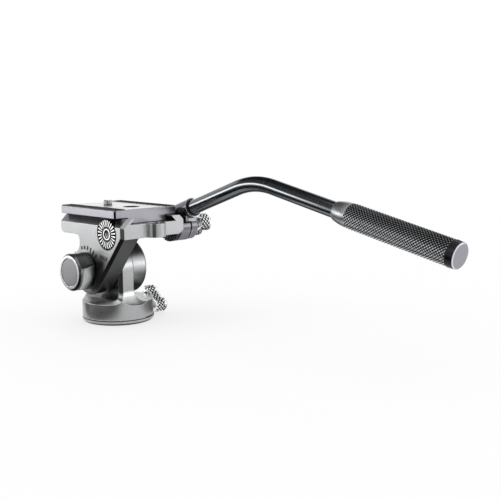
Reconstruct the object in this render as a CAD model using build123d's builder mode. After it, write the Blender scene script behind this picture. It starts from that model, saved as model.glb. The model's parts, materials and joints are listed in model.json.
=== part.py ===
import os
from math import acos, atan2, cos, degrees, hypot, pi, radians, sin, sqrt, tan

from build123d import *

# Fluid video head: a round pan base, a one-armed tilting platform with a quick-release plate,
# and a bent pan handle on a toothed joint.  All sizes are in millimetres.
# Frame: +Z up along the pan axis, +Y towards the lens, +X to the right of the operator.
# Origin: centre of the underside of the base.

os.makedirs("parts", exist_ok=True)

# Fits and cutting allowances shared by the whole head
running_gap = 0.05          # radial play of a shaft that turns in a bore
slide_gap = 0.15            # play between faces that slide past each other
face_gap = 0.1              # end play between faces that turn on each other
body_gap = 0.3              # air between parts that must never rub
rosette_gap = 0.2           # air between the tooth tips of the two facing rosettes
overrun = 1.0               # how far a cutter passes the surface that it opens

# Pan base
base_radius = 25.0
base_plate_height = 3.4
base_bevel = 1.5
insert_flange_radius = 8.0
insert_flange_height = 1.6
insert_recess = 0.4
insert_wall = 1.7375
tripod_thread_radius = 4.7625
spindle_neck_radius = 13.0
spindle_flange_thickness = 4.8
spindle_flange_lip = 1.5    # how far the drum's thread stands outside the spindle's flange
base_screw_count = 3
base_screw_radius = 1.25
base_screw_head_radius = 2.4
base_screw_head_height = 1.4
base_screw_length = 7.5

# Pan housing: a drum below and one upright neck above
drum_wall = 5.5
drum_roof = 2.1
drum_step = 2.0             # the drum stands this much higher on the arm's side
washer_thickness = 0.5
ring_thickness = 2.85
drum_relief = 0.45          # the brake side of the drum is turned slightly smaller
drum_relief_share = 0.2     # where that relief starts, as a share of the drum's radius
neck_right = -0.8
neck_thickness = 11.0
neck_shoulder = 5.5         # how far the neck's sides stand in from the drum's wall
neck_round_left = 6.0
neck_round_right = 8.0
neck_flare_radius = 13.0
neck_flare_drop = 1.7       # the flare meets the drum's wall this far below its top
neck_bevel = 2.2

# Damping cartridge in its round case on the tilt axis
case_clearance = 3.6        # air between the drum's top and the case
case_end_gap = 0.35         # air beyond the pressure plate
case_wall = 2.2
case_edge_round = 3.2
case_seam = 0.35
spigot_length = 2.2
spigot_wall = 1.6
bush_wall = 2.4
journal_radius = 9.0
hub_radius = 6.0
rod_radius = 2.5
stator_thickness = 1.5
rotor_thickness = 2.0
rotor_inset = 0.7
circlip_thickness = 0.6
circlip_depth = 1.2
pressure_plate_thickness = 2.6
pressure_hub_radius = 8.4
pressure_cap_thickness = 1.2
drag_travel = 0.6
spanner_hole_radius = 1.1
spanner_hole_depth = 1.2
spanner_hole_share = 0.62   # distance of the spanner holes from the axis, of the case's radius

# Tilting arm and platform
arm_gap = 0.7               # air between the arm and the neck
arm_thickness = 13.5
arm_radius = 17.0
arm_bevel = 2.0
arm_waist_y = 6.7           # the arm is narrowest here, below the platform's nose
arm_waist_drop = 4.6
arm_shoulder_y = 10.4
arm_foot_angle = 42.0       # where the waist's curve runs into the round end
platform_clearance = 4.7    # air between the neck and the platform
platform_right = 26.0
platform_front = 29.0
platform_rear = -42.0
platform_depth = 9.2        # from the underside to the floor of the channel
jaw_rise = 3.8
channel_half_width = 19.5
left_flank_height = 7.7     # above it the left flank turns into the sloping shoulder
right_flank_height = 9.8
right_under_bevel = 2.4
right_under_run = 3.8
nose_radius = 4.0
shaft_flange_radius = 12.2
shaft_flange_thickness = 3.0
shaft_screw_count = 3
shaft_screw_radius = 1.25
shaft_screw_head_radius = 2.3
shaft_screw_head_height = 2.4

# Bull's-eye level in its bulge behind the clamp
level_x = 1.5
level_set_back = 0.5
level_radius = 5.0
level_height = 4.6
level_wall = 0.8
level_fluid_height = 2.2
level_glass_height = 0.8
bulge_radius = 7.0
bulge_flute = 1.5           # hollow round where the bulge meets the platform

# Toothed rosettes that carry the handle on either side
rosette_set_in = 17.0       # from the platform's rear face
rosette_rise = 2.5          # above the platform's underside
rosette_radius = 10.1
rosette_hub_radius = 4.9
rosette_rim = 0.6
rosette_thickness = 3.0
rosette_tooth_count = 24
rosette_tooth_depth = 1.1
tooth_gap_share = 0.62      # width of a gap between teeth, as a share of the tooth pitch
handle_thread_radius = 3.0
handle_thread_depth = 12.0
handle_boss_radius = 5.4

# Drag knob on the left end of the tilt axis
drag_knob_radius = 12.7
drag_knob_length = 13.1
drag_knob_bevel = 1.3
drag_knob_heel = 0.8
inlay_radius = 9.2
inlay_gap = 0.5             # dark seam round the let-in disc
inlay_depth = 1.0
scallop_count = 2
scallop_radius = 14.0       # at the knob's heel; it tapers towards the rim
scallop_depth = 3.2
scallop_round = 3.0
scallop_rim = 3.2
scallop_taper = 15.0        # degrees
scallop_turn = 21.0         # degrees below the level
drag_washer_radius = 8.0
knob_bolt_radius = 1.5
knob_bolt_head_radius = 3.2
knob_bolt_head_height = 2.0
knob_bolt_length = 8.0
knob_bolt_web = 2.0

# Wing knobs: one pattern for the pan lock, the handle lock and the plate lock
wing_collar_radius = 6.2
wing_collar_height = 1.8
wing_lobe_radius = 4.8
wing_lobe_offset = 6.9
wing_waist = 7.4
wing_height = 12.0
wing_foot_share = 0.6       # half width of the wing at its foot, as a share of its half span
wing_flare_share = 0.36     # height at which the wing reaches its full span
wing_corner_radius = 3.0

# Pan lock
pan_lock_rise = 2.7         # above the underside of the spindle's flange
lock_screw_radius = 2.5
lock_boss_radius = 4.4
brake_shoe_radius = 3.2
brake_shoe_length = 3.2
brake_shoe_gap = 0.4
brake_release = 0.6         # how far the screw can back out of its pocket
pan_wing_angle = 40.0       # of the wing's span to the level, as for the other two

# Quick-release plate and its clamp
plate_half_width = 26.0
plate_length = 63.6
plate_thickness = 5.3
plate_air = 0.4             # between the jaws and the plate
plate_corner_bevel = 1.1
plate_edge_bevel = 0.5
groove_count = 5
groove_width = 0.7
groove_depth = 0.5
groove_band_inner = 17.6
groove_band_outer = 24.6
camera_screw_set_back = 19.9    # behind the plate's front
camera_stud_radius = 3.175
camera_stud_height = 3.4
camera_stud_bevel = 0.6
camera_neck_radius = 2.4
camera_neck_rise = 0.2      # the thread starts this far above the plate
camera_thread_runout = 0.3
camera_head_radius = 7.5
camera_recess_radius = 8.0
camera_recess_depth = 3.6
camera_slot_width = 1.4
camera_slot_depth = 1.2
clip_thickness = 0.5
clip_bore_radius = 5.2
plate_hole_set_in = 16.7    # from the plate's rear
plate_hole_radius = 4.7625
plate_hole_bevel = 0.9
stop_screw_x = 11.5
stop_screw_y = -3.0
stop_screw_radius = 1.5
stop_screw_depth = 3.4      # length of the stop screw held in the plate
stop_travel = 12.0
stop_reach = 1.0
shoe_front = 22.0
shoe_rear = -6.0
shoe_floor = 3.6            # above the platform's underside
shoe_wall = 5.2
shoe_pin_radius = 1.5
shoe_pin_share = 0.34       # the pins stand this share of the shoe's length from its middle
shoe_pin_length = 9.6
shoe_screw_rise = 6.4       # above the platform's underside
shoe_screw_reach = 11.5
plate_wing_angle = 0.0

# Pan handle
clamp_radius = 9.8
clamp_width = 11.8
handle_rosette_thickness = 2.0
tube_set_out = 4.9          # from the handle's rosette to the tube's axis
web_width = 9.2
web_reach = 17.4
web_rise = 5.4
lock_washer_radius = 9.4
lock_washer_bevel = 0.7
lock_washer_thickness = 6.3
handle_wing_angle = 35.0
socket_radius = 6.8
socket_length = 26.0
socket_reach = 19.3         # from the rosette's axis back to the socket's mouth
socket_rise = 14.959        # and up
socket_lip = 0.7
socket_mouth_depth = 1.8
seal_inset = 0.4
tube_radius = 5.06
tube_wall = 1.2
tube_insertion = 15.0
handle_rise_angle = 19.3
handle_fall_angle = 12.6
handle_rise_run = 59.8      # level distance from the socket's mouth to the corner of the bend
handle_bend_radius = 58.0
set_screw_radius = 1.5
set_screw_inset = 9.0
ferrule_start = 69.5        # along the falling leg, from the corner of the bend
ferrule_length = 10.3
grip_length = 68.6
grip_cap_length = 4.7
ferrule_nose_radius = 6.0
ferrule_belly_radius = 7.1
ferrule_radius = 7.4
grip_radius = 7.8
grip_bevel = 0.35
tube_in_grip = 26.0
grip_seal_radius = 7.2
grip_seal_length = 0.7
grip_cap_bevel = 0.6
grip_cap_taper = 0.25
grip_plug_length = 8.0

# Heights, from the base up
housing_bottom = base_plate_height + slide_gap
ring_bottom = housing_bottom + face_gap
ring_top = ring_bottom + ring_thickness
spindle_flange_bottom = ring_top + washer_thickness + face_gap + face_gap
spindle_flange_top = spindle_flange_bottom + spindle_flange_thickness
pan_lock_height = spindle_flange_bottom + pan_lock_rise
cavity_roof = spindle_flange_top + face_gap + washer_thickness
drum_top = cavity_roof + drum_roof
drum_left_top = drum_top + drum_step
neck_radius = base_radius - neck_shoulder
tilt_height = drum_top + case_clearance + neck_radius
neck_top = tilt_height + neck_radius
platform_bottom = neck_top + platform_clearance
channel_floor = platform_bottom + platform_depth
jaw_top = channel_floor + jaw_rise
left_shoulder = platform_bottom + left_flank_height
right_shoulder = platform_bottom + right_flank_height
rosette_z = platform_bottom + rosette_rise
shoe_bottom = platform_bottom + shoe_floor
shoe_screw_height = platform_bottom + shoe_screw_rise
plate_bottom = jaw_top + plate_air
plate_top = plate_bottom + plate_thickness

# Places across, from the neck outwards
insert_radius = tripod_thread_radius + insert_wall
ring_radius = base_radius - drum_wall
spindle_flange_radius = ring_radius - spindle_flange_lip
neck_left = neck_right - neck_thickness
arm_inner = neck_left - arm_gap
arm_outer = arm_inner - arm_thickness
handle_rosette_start = platform_right + rosette_gap
barrel_start = handle_rosette_start + handle_rosette_thickness
handle_clamp_right = barrel_start + clamp_width
handle_x = barrel_start + tube_set_out

# Places along, from the platform's ends
rosette_y = platform_rear + rosette_set_in
plate_front = platform_front - face_gap
plate_rear = plate_front - plate_length
camera_screw_y = plate_front - camera_screw_set_back
plate_hole_y = plate_rear + plate_hole_set_in
socket_mouth_y = rosette_y - socket_reach
socket_mouth_z = rosette_z + socket_rise
handle_corner_y = socket_mouth_y - handle_rise_run
handle_corner_z = socket_mouth_z + handle_rise_run * tan(radians(handle_rise_angle))
grip_start = ferrule_start + ferrule_length
grip_end = grip_start + grip_length
cap_start = grip_end + grip_seal_length
handle_end = cap_start + grip_cap_length

# Planes whose local X and Y are the head's Y and Z, or X and Z
tilt_plane = Plane(origin=(0, 0, tilt_height), x_dir=(0, 1, 0), z_dir=(1, 0, 0))
rosette_plane = Plane(origin=(0, rosette_y, rosette_z), x_dir=(0, 1, 0), z_dir=(1, 0, 0))
pan_lock_plane = Plane(origin=(0, 0, pan_lock_height), x_dir=(0, 1, 0), z_dir=(1, 0, 0))
shoe_middle = (shoe_front + shoe_rear) / 2
shoe_plane = Plane(origin=(0, shoe_middle, shoe_screw_height), x_dir=(0, 1, 0), z_dir=(1, 0, 0))


def save(built, name):
    built.part.label = name
    export_step(built.part, "parts/" + name + ".step")


def wing_direction(angle):
    # the way a wing's span points, turned from +Y towards +Z
    return (0, cos(radians(angle)), sin(radians(angle)))


def disc(plane, start, end, outer, inner=0):
    # a round slab between two heights along the plane's normal, with an optional bore
    with BuildPart() as slab:
        with BuildSketch(plane.offset(start)):
            Circle(outer)
            if inner:
                Circle(inner, mode=Mode.SUBTRACT)
        extrude(amount=end - start)
    return slab


def wing_knob(seat, bore):
    # a collar and a waisted two-lobed wing; the seat's normal is the turning axis
    half_span = wing_lobe_offset + wing_lobe_radius
    foot = half_span * wing_foot_share
    flare = wing_height * wing_flare_share
    side = Plane(origin=seat.origin, x_dir=seat.x_dir, z_dir=-seat.y_dir)
    with BuildPart() as knob:
        with BuildSketch(seat):
            with Locations((wing_lobe_offset, 0), (-wing_lobe_offset, 0)):
                Circle(wing_lobe_radius)
            Rectangle(wing_lobe_offset + wing_lobe_offset, wing_waist)
        extrude(amount=wing_height)
        with BuildSketch(side):
            Polygon(
                (-foot, 0), (foot, 0), (half_span, flare), (half_span, wing_height),
                (-half_span, wing_height), (-half_span, flare), align=None,
            )
            fillet(vertices().group_by(Axis.Y)[-1], wing_corner_radius)
        extrude(amount=wing_lobe_radius, both=True, mode=Mode.INTERSECT)
        with BuildSketch(seat):
            Circle(wing_collar_radius)
        extrude(amount=wing_collar_height)
        with BuildSketch(seat):
            Circle(bore)
        extrude(amount=wing_height / 2, mode=Mode.SUBTRACT)
    return knob


def rosette_grooves(plane):
    # radial gaps between the teeth, wider outside, cut down from the plane against its normal
    pitch = 2 * pi / rosette_tooth_count
    outer = rosette_radius + rosette_rim
    half_outer = outer * pitch * tooth_gap_share / 2
    half_inner = rosette_hub_radius * pitch * tooth_gap_share / 2
    with BuildPart() as grooves:
        with BuildSketch(plane.offset(-rosette_tooth_depth)):
            with PolarLocations(0, rosette_tooth_count):
                Polygon(
                    (rosette_hub_radius, -half_inner), (outer, -half_outer),
                    (outer, half_outer), (rosette_hub_radius, half_inner), align=None,
                )
        extrude(amount=rosette_tooth_depth + overrun)
    return grooves


# Base plate: the round foot that stands on the tripod
with BuildPart() as base_plate:
    with BuildSketch(Plane.XY):
        Circle(base_radius)
    extrude(amount=base_plate_height)
    chamfer(edges().group_by(Axis.Z)[0], base_bevel)
    with BuildSketch(Plane.XY):
        Circle(insert_flange_radius)
    extrude(amount=insert_recess + insert_flange_height, mode=Mode.SUBTRACT)
    with BuildSketch(Plane.XY):
        Circle(insert_radius)
    extrude(amount=base_plate_height, mode=Mode.SUBTRACT)
    base_screw_ring = insert_flange_radius + base_screw_head_radius + face_gap
    with BuildSketch(Plane.XY):
        with PolarLocations(base_screw_ring, base_screw_count):
            Circle(base_screw_radius)
    extrude(amount=base_plate_height, mode=Mode.SUBTRACT)
    with BuildSketch(Plane.XY):
        with PolarLocations(base_screw_ring, base_screw_count):
            Circle(base_screw_head_radius)
    extrude(amount=base_screw_head_height, mode=Mode.SUBTRACT)
save(base_plate, "base_plate")

# Steel thread insert for the tripod stud, flanged so that it can't be pulled upwards
with BuildPart() as tripod_insert:
    with BuildSketch(Plane.XY.offset(insert_recess)):
        Circle(insert_flange_radius)
    extrude(amount=insert_flange_height)
    with BuildSketch(Plane.XY.offset(insert_recess)):
        Circle(insert_radius)
    extrude(amount=spindle_flange_top - insert_recess)
    with BuildSketch(Plane.XY.offset(insert_recess)):
        Circle(tripod_thread_radius)
    extrude(amount=spindle_flange_top - insert_recess, mode=Mode.SUBTRACT)
save(tripod_insert, "tripod_insert")

# Pan spindle: a mushroom whose flange is trapped inside the drum
with BuildPart() as pan_spindle:
    with BuildSketch(Plane.XY.offset(base_plate_height)):
        Circle(spindle_neck_radius)
    extrude(amount=spindle_flange_bottom - base_plate_height)
    with BuildSketch(Plane.XY.offset(spindle_flange_bottom)):
        Circle(spindle_flange_radius)
    extrude(amount=spindle_flange_top - spindle_flange_bottom)
    with BuildSketch(Plane.XY.offset(base_plate_height)):
        Circle(insert_radius)
        with PolarLocations(base_screw_ring, base_screw_count):
            Circle(base_screw_radius)
    extrude(amount=spindle_flange_top - base_plate_height, mode=Mode.SUBTRACT)
save(pan_spindle, "pan_spindle")

# Three cap screws that hold the base plate to the spindle
with BuildPart() as base_screws:
    with BuildSketch(Plane.XY):
        with PolarLocations(base_screw_ring, base_screw_count):
            Circle(base_screw_head_radius)
    extrude(amount=base_screw_head_height)
    with BuildSketch(Plane.XY.offset(base_screw_head_height)):
        with PolarLocations(base_screw_ring, base_screw_count):
            Circle(base_screw_radius)
    extrude(amount=base_screw_length)
save(base_screws, "base_screws")

# Pan housing: the outline seen from behind, cut by the outline seen from the side
flare_z = drum_top - neck_flare_drop
flare_inset = neck_flare_radius - (base_radius - neck_radius)
flare_turn = acos(flare_inset / neck_flare_radius)
flare_top = flare_z + neck_flare_radius * sin(flare_turn)
bush_radius = journal_radius + running_gap + bush_wall
case_bore = neck_radius - case_wall
with BuildPart() as pan_housing:
    with BuildSketch(Plane.XZ):
        Polygon(
            (-base_radius, housing_bottom), (base_radius, housing_bottom),
            (base_radius, drum_top), (neck_right, drum_top), (neck_right, neck_top),
            (neck_left, neck_top), (neck_left, drum_left_top), (-base_radius, drum_left_top),
            align=None,
        )
        fillet(vertices().sort_by_distance((neck_left, drum_left_top))[0], neck_round_left)
        fillet(vertices().sort_by_distance((neck_right, drum_top))[0], neck_round_right)
    extrude(amount=base_radius, both=True)
    with BuildSketch(Plane.YZ):
        with BuildLine():
            sole = Line((-base_radius, housing_bottom), (base_radius, housing_bottom))
            Line(sole @ 1, (base_radius, flare_z))
            CenterArc(
                (neck_radius + neck_flare_radius, flare_top), neck_flare_radius,
                180 + degrees(flare_turn), -degrees(flare_turn),
            )
            Line((neck_radius, flare_top), (neck_radius, tilt_height))
            CenterArc((0, tilt_height), neck_radius, 0, 180)
            Line((-neck_radius, tilt_height), (-neck_radius, flare_top))
            CenterArc(
                (-neck_radius - neck_flare_radius, flare_top), neck_flare_radius,
                0, -degrees(flare_turn),
            )
            Line((-base_radius, flare_z), sole @ 0)
        make_face()
    extrude(amount=base_radius, both=True, mode=Mode.INTERSECT)
    with BuildSketch(Plane.XY.offset(housing_bottom)):
        Circle(base_radius)
    extrude(amount=neck_top, mode=Mode.INTERSECT)
    # broad bevel along the neck's left edge and down round the drum's left shoulder
    left_rim = edges().filter_by(Axis.Y, reverse=True).filter_by(
        lambda e: e.center().X < neck_left + running_gap and e.center().Z > flare_z + running_gap
    )
    chamfer(left_rim, neck_bevel)
    # relief on the brake side
    with BuildSketch(Plane.XY.offset(housing_bottom)):
        Circle(base_radius + overrun)
        Circle(base_radius - drum_relief, mode=Mode.SUBTRACT)
        with Locations((base_radius * (1 + drum_relief_share), 0)):
            Rectangle(2 * base_radius, 3 * base_radius, mode=Mode.INTERSECT)
    extrude(amount=drum_top, mode=Mode.SUBTRACT)
    # boss for the pan lock screw
    with BuildSketch(pan_lock_plane.offset(ring_radius)):
        Circle(lock_boss_radius)
    extrude(amount=base_radius + slide_gap - ring_radius)
    # cavity for the spindle, the ring and the washers
    with BuildSketch(Plane.XY.offset(housing_bottom)):
        Circle(ring_radius)
    extrude(amount=ring_top - housing_bottom, mode=Mode.SUBTRACT)
    with BuildSketch(Plane.XY.offset(ring_top)):
        Circle(spindle_flange_radius + running_gap)
    extrude(amount=cavity_roof - ring_top, mode=Mode.SUBTRACT)
    # round seat of the fluid case, its centring spigot and the bore for the bush
    with BuildSketch(tilt_plane.offset(neck_right)):
        Circle(neck_radius)
    extrude(amount=neck_round_right + overrun, mode=Mode.SUBTRACT)
    with BuildSketch(tilt_plane.offset(neck_right)):
        Circle(case_bore)
        Circle(case_bore - spigot_wall, mode=Mode.SUBTRACT)
    extrude(amount=spigot_length)
    with BuildSketch(tilt_plane.offset(neck_left - overrun)):
        Circle(bush_radius)
    extrude(amount=neck_right - neck_left + overrun + overrun, mode=Mode.SUBTRACT)
    # pan lock screw thread and the pocket of the brake shoe
    shoe_pocket_end = spindle_flange_radius + brake_shoe_gap + brake_shoe_length
    with BuildSketch(pan_lock_plane.offset(spindle_flange_radius - overrun)):
        Circle(lock_screw_radius + running_gap)
    extrude(amount=base_radius - spindle_flange_radius + overrun + overrun, mode=Mode.SUBTRACT)
    with BuildSketch(pan_lock_plane.offset(spindle_flange_radius - overrun)):
        Circle(brake_shoe_radius + running_gap)
    extrude(
        amount=shoe_pocket_end + brake_release + slide_gap - spindle_flange_radius + overrun,
        mode=Mode.SUBTRACT,
    )
save(pan_housing, "pan_housing")

# Threaded ring that closes the drum below the spindle's flange
ring_inner = spindle_neck_radius + running_gap
pan_retaining_ring = disc(Plane.XY, ring_bottom, ring_top, ring_radius, ring_inner)
save(pan_retaining_ring, "pan_retaining_ring")

# Two thin slide washers, above and below the flange
pan_thrust_washer = disc(
    Plane.XY, cavity_roof - washer_thickness, cavity_roof, spindle_flange_radius, insert_flange_radius
)
save(pan_thrust_washer, "pan_thrust_washer")
pan_wear_washer = disc(
    Plane.XY, ring_top, ring_top + washer_thickness, spindle_flange_radius, ring_inner
)
save(pan_wear_washer, "pan_wear_washer")

# Brake shoe that the pan lock presses on the flange
shoe_start = spindle_flange_radius + brake_shoe_gap
pan_brake_shoe = disc(pan_lock_plane, shoe_start, shoe_pocket_end, brake_shoe_radius)
save(pan_brake_shoe, "pan_brake_shoe")

# Pan lock: wing knob and screw
pan_knob_start = base_radius + slide_gap + body_gap
pan_knob_seat = Plane(
    origin=(pan_knob_start, 0, pan_lock_height), x_dir=wing_direction(pan_wing_angle), z_dir=(1, 0, 0)
)
pan_lock_knob = wing_knob(pan_knob_seat, lock_screw_radius)
save(pan_lock_knob, "pan_lock_knob")
pan_screw_end = pan_knob_start + wing_height / 2
pan_lock_screw = disc(pan_lock_plane, shoe_pocket_end, pan_screw_end, lock_screw_radius)
save(pan_lock_screw, "pan_lock_screw")

# Plain bush in the neck
tilt_bush = disc(tilt_plane, neck_left, neck_right, bush_radius, journal_radius + running_gap)
save(tilt_bush, "tilt_bush")

# Places of the cartridge's discs along the tilt axis, which set the case's length
stator_radius = case_bore - spigot_wall
inner_stator_end = neck_right + stator_thickness
rotor_start = inner_stator_end + slide_gap
rotor_end = rotor_start + rotor_thickness
outer_stator_start = rotor_end + slide_gap
outer_stator_end = outer_stator_start + stator_thickness
plate_start = outer_stator_end + drag_travel
plate_disc_end = plate_start + pressure_plate_thickness
shaft_end = plate_disc_end + slide_gap
cap_inner = shaft_end + drag_travel + face_gap
pressure_plate_end = cap_inner + pressure_cap_thickness
case_right = pressure_plate_end + case_end_gap + case_wall

# Fluid case: a cup screwed onto the neck's spigot, with two spanner holes
with BuildPart() as fluid_case:
    with BuildSketch(tilt_plane.offset(neck_right)):
        Circle(neck_radius)
    extrude(amount=case_right - neck_right)
    fillet(edges().group_by(Axis.X)[-1], case_edge_round)
    chamfer(edges().group_by(Axis.X)[0], case_seam)
    with BuildSketch(tilt_plane.offset(neck_right)):
        Circle(case_bore)
    extrude(amount=case_right - case_wall - neck_right, mode=Mode.SUBTRACT)
    with BuildSketch(tilt_plane.offset(case_right - spanner_hole_depth)):
        with PolarLocations(neck_radius * spanner_hole_share, 2):
            Circle(spanner_hole_radius)
    extrude(amount=spanner_hole_depth + overrun, mode=Mode.SUBTRACT)
save(fluid_case, "fluid_case")

# Damping discs: one stator each side of the rotor
inner_stator = disc(tilt_plane, neck_right, inner_stator_end, stator_radius, journal_radius + body_gap)
save(inner_stator, "inner_stator")
rotor_disc = disc(tilt_plane, rotor_start, rotor_end, stator_radius - rotor_inset, hub_radius)
save(rotor_disc, "rotor_disc")
circlip_radius = hub_radius + circlip_depth
outer_stator = disc(
    tilt_plane, outer_stator_start, outer_stator_end, case_bore, circlip_radius + body_gap
)
save(outer_stator, "outer_stator")
rotor_circlip = disc(
    tilt_plane, rotor_end, rotor_end + circlip_thickness, circlip_radius, hub_radius
)
save(rotor_circlip, "rotor_circlip")

# Pressure plate: slides on the shaft's end and squeezes the discs as the drag knob turns
with BuildPart() as pressure_plate:
    with BuildSketch(tilt_plane.offset(plate_start)):
        Circle(stator_radius - rotor_inset)
    extrude(amount=pressure_plate_thickness)
    with BuildSketch(tilt_plane.offset(plate_disc_end)):
        Circle(pressure_hub_radius)
    extrude(amount=pressure_plate_end - plate_disc_end)
    with BuildSketch(tilt_plane.offset(plate_start)):
        Circle(hub_radius + running_gap)
    extrude(amount=cap_inner - plate_start, mode=Mode.SUBTRACT)
    with BuildSketch(tilt_plane.offset(plate_start)):
        Circle(rod_radius + running_gap)
    extrude(amount=pressure_plate_end - plate_start, mode=Mode.SUBTRACT)
save(pressure_plate, "pressure_plate")

# Tilting bracket: arm, platform, jaws and level housing in one casting
tangent_far = hypot(platform_rear, platform_bottom - tilt_height)
slant_angle = atan2(platform_bottom - tilt_height, platform_rear) + acos(arm_radius / tangent_far)
arm_foot = radians(arm_foot_angle)
left_jaw = arm_outer + jaw_top - left_shoulder
right_jaw = platform_right - jaw_top + right_shoulder
jaw_inner = channel_half_width - jaw_top + channel_floor
flange_face = arm_inner - shaft_flange_thickness
shaft_screw_ring = (hub_radius + shaft_flange_radius) / 2
level_y = platform_rear - level_set_back
thread_end = platform_right - handle_thread_depth
pocket_left = platform_right - shoe_wall - body_gap
with BuildPart() as tilt_bracket:
    # platform and jaws
    with BuildSketch(Plane.XZ.offset(-platform_front)):
        Polygon(
            (arm_outer, platform_bottom), (arm_outer, left_shoulder), (left_jaw, jaw_top),
            (-jaw_inner, jaw_top), (-channel_half_width, channel_floor),
            (channel_half_width, channel_floor), (jaw_inner, jaw_top), (right_jaw, jaw_top),
            (platform_right, right_shoulder), (platform_right, platform_bottom + right_under_bevel),
            (platform_right - right_under_run, platform_bottom), align=None,
        )
    extrude(amount=platform_front - platform_rear)
    nose = edges().filter_by(Axis.X).group_by(Axis.Y)[-1].group_by(Axis.Z)[0]
    fillet(nose, nose_radius)
    # arm
    with BuildSketch(Plane.YZ.offset(arm_outer)):
        with BuildLine():
            foot_point = (
                arm_radius * cos(arm_foot), tilt_height + arm_radius * sin(arm_foot)
            )
            waist = ThreePointArc(
                (arm_shoulder_y, platform_bottom + nose_radius / 3),
                (arm_waist_y, platform_bottom - arm_waist_drop), foot_point,
            )
            round_end = CenterArc(
                (0, tilt_height), arm_radius, arm_foot_angle,
                degrees(slant_angle) - 360 - arm_foot_angle,
            )
            slant = Line(round_end @ 1, (platform_rear, platform_bottom))
            rear = Line(slant @ 1, (platform_rear, left_shoulder))
            across = Line(rear @ 1, (arm_shoulder_y, left_shoulder))
            Line(across @ 1, waist @ 0)
        make_face()
    extrude(amount=arm_inner - arm_outer)
    # broad bevel along the rear of the left flank and round the arm's end
    flank = faces().filter_by(Axis.X).sort_by(Axis.X)[0]
    arm_edges = flank.edges().filter_by(
        lambda e: e.center().Z < platform_bottom and e.center().Y < arm_waist_y - overrun
    )
    rear_edge = flank.edges().sort_by(Axis.Y)[0]
    shoulder_edge = edges().filter_by(
        lambda e: abs(e.center().Y - platform_rear) < running_gap
        and abs(e.center().X - (arm_outer + left_jaw) / 2) < running_gap
    )
    chamfer([*arm_edges, rear_edge, *shoulder_edge], arm_bevel)
    # bulge for the level
    with BuildSketch(Plane.XY.offset(platform_bottom)):
        with Locations((level_x, platform_rear)):
            Circle(bulge_radius)
    extrude(amount=channel_floor - platform_bottom)
    flutes = edges().filter_by(Axis.Z).filter_by(
        lambda e: abs(e.center().Y - platform_rear) < running_gap
        and abs(abs(e.center().X - level_x) - bulge_radius) < running_gap
    )
    fillet(flutes, bulge_flute)
    # boss under the right flank for the handle's thread
    with BuildSketch(rosette_plane.offset(thread_end)):
        Circle(handle_boss_radius)
    extrude(amount=handle_thread_depth)
    # level pocket
    with BuildSketch(Plane.XY.offset(channel_floor - level_height)):
        with Locations((level_x, level_y)):
            Circle(level_radius)
    extrude(amount=level_height, mode=Mode.SUBTRACT)
    # seat of the shaft's flange, its bore and its screws
    with BuildSketch(tilt_plane.offset(flange_face)):
        Circle(shaft_flange_radius)
    extrude(amount=shaft_flange_thickness + overrun, mode=Mode.SUBTRACT)
    with BuildSketch(tilt_plane.offset(arm_outer - overrun)):
        Circle(hub_radius)
        with PolarLocations(shaft_screw_ring, shaft_screw_count, 90):
            Circle(shaft_screw_radius)
    extrude(amount=flange_face - arm_outer + overrun + overrun, mode=Mode.SUBTRACT)
    with BuildSketch(tilt_plane.offset(arm_outer - overrun)):
        with PolarLocations(shaft_screw_ring, shaft_screw_count, 90):
            Circle(shaft_screw_head_radius)
    extrude(amount=shaft_screw_head_height + overrun, mode=Mode.SUBTRACT)
    # left rosette pocket and the handle threads of both sides
    with BuildSketch(rosette_plane.offset(arm_outer - overrun)):
        Circle(rosette_radius)
    extrude(amount=rosette_thickness + overrun, mode=Mode.SUBTRACT)
    with BuildSketch(rosette_plane.offset(arm_outer)):
        Circle(handle_thread_radius)
    extrude(amount=handle_thread_depth, mode=Mode.SUBTRACT)
    with BuildSketch(rosette_plane.offset(thread_end)):
        Circle(handle_thread_radius)
    extrude(amount=handle_thread_depth + overrun, mode=Mode.SUBTRACT)
    # teeth in the right flank
    add(rosette_grooves(rosette_plane.offset(platform_right)).part, mode=Mode.SUBTRACT)
    # pocket for the clamp shoe, its screw and its pins
    shoe_length = shoe_front - shoe_rear
    pocket_length = shoe_length + slide_gap + slide_gap
    pin_spread = shoe_length * shoe_pin_share
    with BuildSketch(Plane.XZ.offset(-shoe_front - slide_gap)):
        Polygon(
            (pocket_left, shoe_bottom - slide_gap),
            (platform_right + overrun, shoe_bottom - slide_gap),
            (platform_right + overrun, jaw_top + overrun), (jaw_inner - overrun, jaw_top + overrun),
            (jaw_inner - overrun, channel_floor), (pocket_left, channel_floor), align=None,
        )
    extrude(amount=pocket_length, mode=Mode.SUBTRACT)
    shoe_screw_tip = platform_right - shoe_screw_reach
    with BuildSketch(shoe_plane.offset(shoe_screw_tip - slide_gap)):
        Circle(lock_screw_radius + running_gap)
        with Locations((pin_spread, 0), (-pin_spread, 0)):
            Circle(shoe_pin_radius)
    extrude(amount=pocket_left - shoe_screw_tip + slide_gap, mode=Mode.SUBTRACT)
    # slots in the channel floor for the plate's stop screws
    slot_width = 2 * (stop_screw_radius + slide_gap)
    slot_drop = stop_reach + slide_gap
    with BuildSketch(Plane.XY.offset(channel_floor - slot_drop)):
        with Locations((stop_screw_x, stop_screw_y), (-stop_screw_x, stop_screw_y)):
            SlotCenterToCenter(2 * stop_travel + slide_gap, slot_width, rotation=90)
    extrude(amount=slot_drop, mode=Mode.SUBTRACT)
save(tilt_bracket, "tilt_bracket")

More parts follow.
